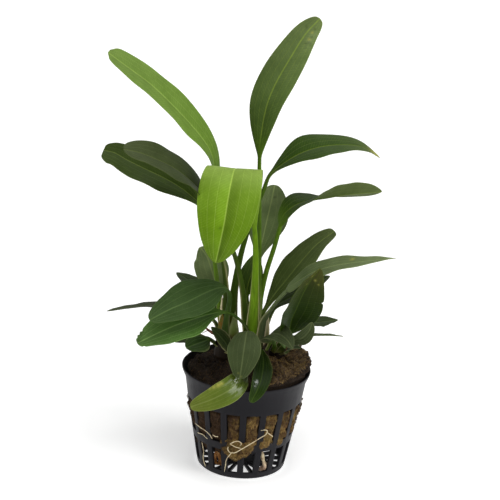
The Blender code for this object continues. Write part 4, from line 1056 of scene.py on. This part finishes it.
def growLeaf(name, leaf, seed):
    dice = np.random.default_rng(seed)
    u, steps, foot, whole, line, side, up = leafLine(leaf)
    power = np.log(0.5) / np.log(leaf["widest"])
    bend = leaf["foot"] * (1 - u) + leaf["tip"] * u
    wide = leaf["half"] * np.sin(pi * np.clip(u, 0, 1) ** power).clip(0) ** bend
    reach = steps * whole
    stalk = stalkShape["half"] * (1 - stalkShape["taper"] * np.minimum(1, steps / foot)) * leaf["stout"]
    wide = np.sqrt(wide**2 + (stalk * (1 - stalkShape["end"] * u)) ** 2)
    # the stalk's foot is broad and clasps the crown
    clasp = np.exp(-(reach / leaf["claspLong"]) ** 1.5)[:, None]
    skirt = (leaf["cream"] * np.exp(-(reach / leaf["creamLong"]) ** 3))[:, None]
    opening = smoothStep(u, 0, stalkShape["opens"])[:, None]

    # each row is a ring of points: over the upper face and back under the lower one
    half = np.array(blade["across"])
    x = np.concatenate([-half[::-1], half[1:]])
    n = len(x)
    angle = pi - pi * (np.arange(n) + 0.5) / n
    flat = np.concatenate([x, x[::-1]])
    above = np.concatenate([np.ones(n), -np.ones(n)])
    ringX = np.concatenate([np.cos(angle), np.cos(angle)[::-1]]) * (1 - opening) + flat * opening
    height = np.concatenate([np.sin(angle), -np.sin(angle)[::-1]])
    uu, w = u[:, None], wide[:, None]
    edge = np.ones_like(ringX)
    for at, which, deep, long in leaf["bites"]:
        edge -= deep * np.exp(-((uu - at) / long) ** 2) * (np.sign(flat) == which) * np.abs(flat) ** 0.5
    acrossX = ringX * w * (1 + leaf["clasp"] * clasp) * edge
    stalkY = height * stalk[:, None] * np.where(above > 0, 0.8, 1.0) * (1 - 0.45 * clasp)
    stalkY += stalkShape["bend"] * clasp * acrossX**2
    y = stalkY * (1 - opening) + bladeHeight(leaf, uu, w, flat, above, acrossX, dice) * opening
    points = line[:, None] + side[:, None] * acrossX[..., None] + up[:, None] * y[..., None]
    points += up[:, None] * spread(points, u, x, leaf["blisters"])[..., None]
    for at, long, deep, gap in leaf["pleats"]:
        points += up[:, None] * (deep * np.cos(2 * pi * acrossX / gap) * np.exp(-((uu - at) / long) ** 2))[..., None]
    points[..., 2] -= sink

    rows = len(u)
    gone = set()
    for at, across, size in leaf["holes"]:
        middle = points[np.argmin(np.abs(u - at)), np.argmin(np.abs(x - across))]
        far = np.linalg.norm(points - middle, axis=2)
        gone |= {(i, j) for i in range(rows - blade["rows"], rows - 1) for j in range(n - 1)
                 if far[i : i + 2, j : j + 2].mean() < size}

    ones = np.ones((rows, 2 * n))
    # strip and lean paint light and shade into the tone
    strip = leaf["strip"] * np.sign(flat) * np.exp(-((np.abs(flat) - blade["stripAt"]) / blade["stripWide"]) ** 2)
    strip = strip * smoothStep(uu, *blade["stripFrom"])
    tone = alongBlade(uu, leaf["tone"]) * opening + leaf["stalkTone"] * (1 - opening)
    grey = alongBlade(uu, leaf["grey"]) * opening + leaf["stalkGrey"] * (1 - opening)
    values = dict(over=ringX, wide=w * ones, reach=reach[:, None] * ones, blade=opening * ones,
                  top=(above > 0) * ones, tone=tone * (1 + strip + leaf["lean"] * flat), grey=grey * ones,
                  skirt=skirt * ones, ripe=leaf["ripe"] * np.exp(-(reach / 10) ** 3)[:, None] * ones,
                  mark=spread(points, u, x, leaf["marks"]), wet=spread(points, u, x, leaf["wet"]))
    return makeMesh(pieceName(name), points.reshape(-1, 3), leafFaces(rows, n, gone), lookMaterials[leaf["look"]],
                    values)


for number, (leafName, own) in enumerate(leaves.items()):
    leaf = leafUsual | own
    settle(growLeaf(leafName, leaf, number), leaf["slot"], leafName)
print("leaves grown:", len(leaves))

# A young leaf too small for a solid of its own, under the arching one.
sprout = dict(crown="crown_side", turn=250, rise=8, stem=[(11.0, -4.5, 57.5)],
              blade=[(11.2, -8, 60.6), (12.4, -11.5, 62.6), (14.0, -14, 62.4), (15.6, -15.5, 60.4)],
              half=2.1, side=(-0.75, -0.6, 0), fold=10, look="moss", seed=77)
settle(growLeaf("leaf_sprout", leafUsual | sprout, sprout["seed"]), "leaf_light")


def tube(line, radius, sides):
    # points and faces of a round strand along a line, its radius a number for each point
    tangent = unit(np.gradient(line, axis=0))
    side = np.array([0.31, 0.22, 0.93])
    points = []
    for center, way, wide in zip(line, tangent, radius):
        side = unit(side - way * side.dot(way))
        up = np.cross(way, side)
        turn = np.linspace(0, 2 * pi, sides, endpoint=False)[:, None]
        points.append(center + wide * (side * np.cos(turn) + up * np.sin(turn)))
    return np.vstack(points), gridFaces(len(line), sides) + endFaces(len(line), sides)


# Roots on the outside of the pot: x, z and how far they stand off the wall.
wallRoots = {
    "root_front": [(-6.6, 3.1, 0.9), (-6.3, 6.4, 0.9), (-6.2, 8.7, 1.0), (-5.7, 10.7, 1.3), (-4.6, 12.8, 1.8),
                   (-4.1, 14.0, 2.2), (-2.6, 14.5, 2.6), (-0.6, 16.1, 2.7), (2.6, 18.4, 2.4), (5.2, 20.0, 1.8),
                   (7.8, 21.6, 1.3), (9.5, 22.6, 1.2), (10.2, 23.7, 1.2), (10.2, 24.8, 1.3), (9.2, 25.4, 1.5),
                   (7.6, 25.2, 1.4)],
    "root_hook": [(-4.4, 14.1, 2.2), (-5.2, 14.5, 2.2), (-5.7, 15.4, 2.0), (-5.6, 16.6, 1.7)],
    "root_loop": [(-0.7, 17.9, 2.2), (-0.2, 18.9, 2.3), (-0.5, 19.8, 2.4), (-1.5, 20.2, 2.3), (-2.9, 19.8, 2.1),
                  (-4.1, 18.9, 1.9), (-4.8, 18.1, 1.7), (-3.6, 17.7, 2.2), (-2.2, 17.3, 2.6), (-0.3, 17.0, 2.6)],
    "root_fork": [(10.4, 23.6, 1.0), (11.7, 22.6, 1.5), (12.9, 21.2, 1.4)],
    "root_left_long": [(-20.3, 21.6, 0.9), (-18.0, 21.3, 1.0), (-15.3, 20.8, 1.0), (-13.4, 19.5, 1.0),
                       (-12.5, 18.0, 0.9)],
    "root_left_fork": [(-12.4, 20.3, 1.0), (-11.3, 19.9, 1.0), (-10.0, 20.0, 0.9)],
    "root_left_short": [(-19.0, 17.5, 0.9), (-16.6, 18.3, 1.0), (-14.6, 17.2, 1.0)],
    "root_left_drop": [(-16.9, 14.2, 0.9), (-16.0, 10.0, 0.9), (-15.9, 5.5, 0.9), (-14.8, 2.4, 0.9)]}
insideRoot = dict(points=[(8.9, -15.2, 12.4), (9.1, -15.4, 9.6), (9.9, -14.9, 6.6), (10.6, -14.2, 4.2),
                          (9.6, -13.4, 2.8), (7.6, -12.8, 2.4)],
                  radius=1.0, swell=(0.12, 0.75, 1.0, 0.7, 0.95, 1.25, 1.2, 0.5), blush=0.8, seed=50)
deadStalk = dict(points=[(-14.2, 0.3, 57.6), (-16.5, 0, 59.0), (-19.6, -0.5, 61.5)], radius=0.82, seed=12,
                 bark=rgb(98, 52, 40), pith=rgb(158, 104, 84))
rootLook = dict(radius=0.17, sides=10, seed=30,
                cream=rgb(214, 198, 160), old=rgb(160, 128, 92), blush=rgb(204, 164, 138))


def rootPaint():
    paint = Paint("moist root", Coat_Weight=0.2, Coat_Roughness=0.25)
    cloud = paint.noise(2.6, detail=3)
    fine = paint.noise(0.4, detail=3)
    color = paint.mix(paint.step(cloud, 0.5, 0.72), rootLook["cream"], rootLook["old"])
    color = paint.mix(paint.attribute("blush"), color, rootLook["blush"])
    paint.feed(Base_Color=paint.tone(color, 0.8 + fine * 0.4), Roughness=0.4 + fine * 0.25)
    paint.bump(fine * 0.1)
    return paint.material


rootMaterial = rootPaint()


def buildRoot(name, points, radius, seed, blush=0.0, swell=()):
    dice = np.random.default_rng(seed)
    line, _, length = smoothLine(points, max(14, int(8 * len(points))))
    share = np.linspace(0, 1, len(line))
    wobble = 1 + 0.12 * np.sin(share * dice.uniform(9, 20) + dice.uniform(0, 6))
    wobble = wobble + 0.05 * dice.standard_normal(len(line))
    ends = np.minimum(1, 0.35 + 9 * np.minimum(share, 1 - share))
    if swell:
        ends = np.interp(share, np.linspace(0, 1, len(swell)), swell)
    mesh, faces = tube(line, radius * wobble * ends, rootLook["sides"])
    pink = blush * np.repeat(smoothStep(share, 0.3, 0.8), rootLook["sides"])
    obj = makeMesh(pieceName(name), mesh, faces, rootMaterial, dict(blush=pink))
    return settle(obj, "root_cream", name)


for number, (rootName, spots) in enumerate(wallRoots.items()):
    onWall = [(x, -sqrt((float(potRadius(z)) + lift) ** 2 - x**2), z) for x, z, lift in spots]
    buildRoot(rootName, onWall, rootLook["radius"], rootLook["seed"] + number)
buildRoot("root_inside", **insideRoot)


def stalkPaint(name, bark, pith):
    paint = Paint(name, Specular_IOR_Level=0.2)
    grain = paint.noise(0.5, paint.place((1, 0.4, 0.4)), detail=4, rough=0.7)
    paint.feed(Base_Color=paint.mix(paint.step(grain, 0.4, 0.7), bark, pith),
               Roughness=0.7 + grain * 0.2)
    paint.bump(grain * 0.25)
    return paint.material


scrapMaterial = stalkPaint("brown scrap", rgb(148, 90, 42), rgb(204, 156, 100))


def buildDeadStalk():
    # a split stub with a side twig, in one mesh
    dice = np.random.default_rng(deadStalk["seed"])
    points, faces = [], []
    a, b, c = (np.array(p) for p in deadStalk["points"])
    strands = [([a, b, c], deadStalk["radius"] * 0.85, 18),
               ([b, b + (-1.2, -0.5, 0.1), b + (-3.0, -0.9, -0.9)], 0.26, 10)]
    for _ in range(4):
        tip = c + dice.uniform(-1, 1, 3) * (0.7, 0.5, 0.5) + (c - b) * 0.16
        strands.append(([b + (c - b) * 0.55, c * 0.97 + b * 0.03, tip], 0.22, 8))
    for spots, radius, count in strands:
        line, _, _ = smoothLine(spots, count)
        mesh, more = tube(line, radius * np.linspace(1, 0.45, count) * (1 + 0.1 * dice.standard_normal(count)), 8)
        faces += shifted(more, len(points))
        points += list(mesh)
    obj = makeMesh("deadStalk", points, faces, stalkPaint("withered stalk", deadStalk["bark"], deadStalk["pith"]))
    return settle(obj, "dead_brown", "dead_stalk")


buildDeadStalk()
print("roots and the dead stalk built")


# A torn brown scrap inside the pot, behind a low window at the front left.
scrap = dict(strips=[[(-11.3, -11.0, 2.8), (-10.9, -11.1, 6.2), (-10.2, -11.2, 10.2)],
                     [(-8.3, -12.2, 2.8), (-9.3, -11.7, 6.6), (-10.2, -11.3, 10.0)],
                     [(-11.8, -11.6, 4.4), (-10.2, -12.1, 3.4), (-7.8, -12.6, 3.0)]],
             wide=1.15, thick=0.16, rows=16, sides=8)


def buildScrap():
    points, faces = [], []
    rows, sides = scrap["rows"], scrap["sides"]
    for k, spots in enumerate(scrap["strips"]):
        line, _, _ = smoothLine(spots, rows)
        t = np.linspace(0, 1, rows)
        mesh, more = tube(line, np.full(rows, 1.0), sides)
        # each tube is pressed flat into a strip that narrows and curls
        offset = (mesh - np.repeat(line, sides, axis=0)).reshape(rows, sides, 3)
        side = unit(np.cross(np.gradient(line, axis=0), [0.3, 1.0, 0.2 * k]))
        wide = scrap["wide"] * (1 - 0.6 * t) * (1 + 0.25 * np.sin(11 * t + k))
        along = np.sum(offset * side[:, None], axis=2, keepdims=True) * side[:, None]
        flat = along * wide[:, None, None] + (offset - along) * scrap["thick"]
        points.append((line[:, None] + flat).reshape(-1, 3))
        faces += shifted(more, rows * sides * k)
    return settle(makeMesh("barkScrap", np.vstack(points), faces, scrapMaterial), "dead_brown")


buildScrap()

# Loose fibers of the wool: short strands that lie over its surface and stand a little off it.
# share: how thick they lie in the windows, on the tufts, the top, the dry chunk and beneath.
fibers = dict(count=9800, hang=(1.0, 3.2), mat=(0.8, 3.4), thin=(0.022, 0.05), lift=(0.02, 0.13), loose=1.7,
              curl=0.55, rings=5, seed=21, share=dict(window=2.6, tuft=4, top=0.9, chunk=3.4, under=0.12),
              tan=rgb(158, 130, 74), brown=rgb(104, 78, 44), dark=rgb(50, 37, 25), pale=rgb(180, 156, 112))


def fiberPaint():
    paint = Paint("wool fibers", Roughness=0.75, Specular_IOR_Level=0.2)
    shade = paint.attribute("shade")
    color = paint.mix(paint.step(shade, 0.0, 0.25), fibers["dark"], fibers["brown"])
    color = paint.mix(paint.step(shade, 0.3, 0.6), color, fibers["tan"])
    color = paint.mix(paint.step(shade, 0.8, 1.0), color, fibers["pale"])
    paint.feed(Base_Color=paint.tone(color, 0.7 + paint.noise(0.8) * 0.5))
    return paint.material


def strand(line, thin):
    # a closed thread of three-sided rings that runs out to a point at each end
    middle, _ = tube(line[1:-1], np.full(len(line) - 2, thin), 3)
    rings = len(line) - 2
    faces = [(0, 2, 1), (0, 3, 2), (0, 1, 3)] + gridFaces(rings, 3, start=1)
    last = 1 + 3 * rings
    faces += [(last, last - 3 + j, last - 3 + (j + 1) % 3) for j in range(3)]
    return np.vstack([line[:1], middle, line[-1:]]), faces


def fiberShare():
    # more in the windows and on the dry chunk, none behind the plain band
    far = np.hypot(woolPoints[:, 0], woolPoints[:, 1])
    share = fibers["share"]
    weight = woolWindow * share["window"] + woolTufted * share["tuft"] + (woolKind == 2) * share["top"]
    weight += (woolKind == 2) * (woolPoints[:, 0] > 5) * (far > 6) * share["chunk"]
    weight += (woolKind == 0) * share["under"]
    return weight / weight.sum()


def layFibers():
    dice = np.random.default_rng(fibers["seed"])
    normals = np.zeros((len(woolPiece.data.vertices), 3), np.float32)
    woolPiece.data.vertices.foreach_get("normal", normals.ravel())
    spots = dice.choice(len(woolPoints), fibers["count"], p=fiberShare())
    points, faces, shade = [], [], []
    t = np.linspace(-0.5, 0.5, fibers["rings"])[:, None]
    for i in spots:
        out = normals[i]
        inWindow = woolWindow[i] > 0.05
        # hanging in the windows, lying about on the top
        lie = np.array([dice.normal(0, 0.4), dice.normal(0, 0.4), 1]) if inWindow else dice.standard_normal(3)
        lie = unit(lie - out * lie.dot(out))
        curl = np.cross(out, lie) * dice.normal(0, fibers["curl"])
        long = dice.uniform(*fibers["hang" if inWindow else "mat"])
        lift = dice.uniform(*fibers["lift"]) * (1 if inWindow else fibers["loose"])
        line = woolPoints[i] + lie * t * long + curl * (t**2 - 0.1) * long
        line = line + out * (0.06 + lift * (0.6 - 2.8 * t**2))
        mesh, more = strand(line, dice.uniform(*fibers["thin"]) * (1.3 if inWindow else 1))
        faces += shifted(more, len(points))
        points += list(mesh)
        # fibres in the windows take on the same painted shade as the wool beneath them
        light = 1 - 0.85 * woolDim[i] if inWindow else 0.3 + 0.6 * smoothStep(woolPoints[i][0], 3, 11)
        least = 0.25 * (1 - woolDim[i]) if inWindow else 0.0
        shade += [least + dice.uniform(0, 1 - least) * light] * len(mesh)
    obj = makeMesh("woolFibers", points, faces, fiberPaint(), dict(shade=shade))
    return settle(obj, "wool")


layFibers()
print("fibers laid")
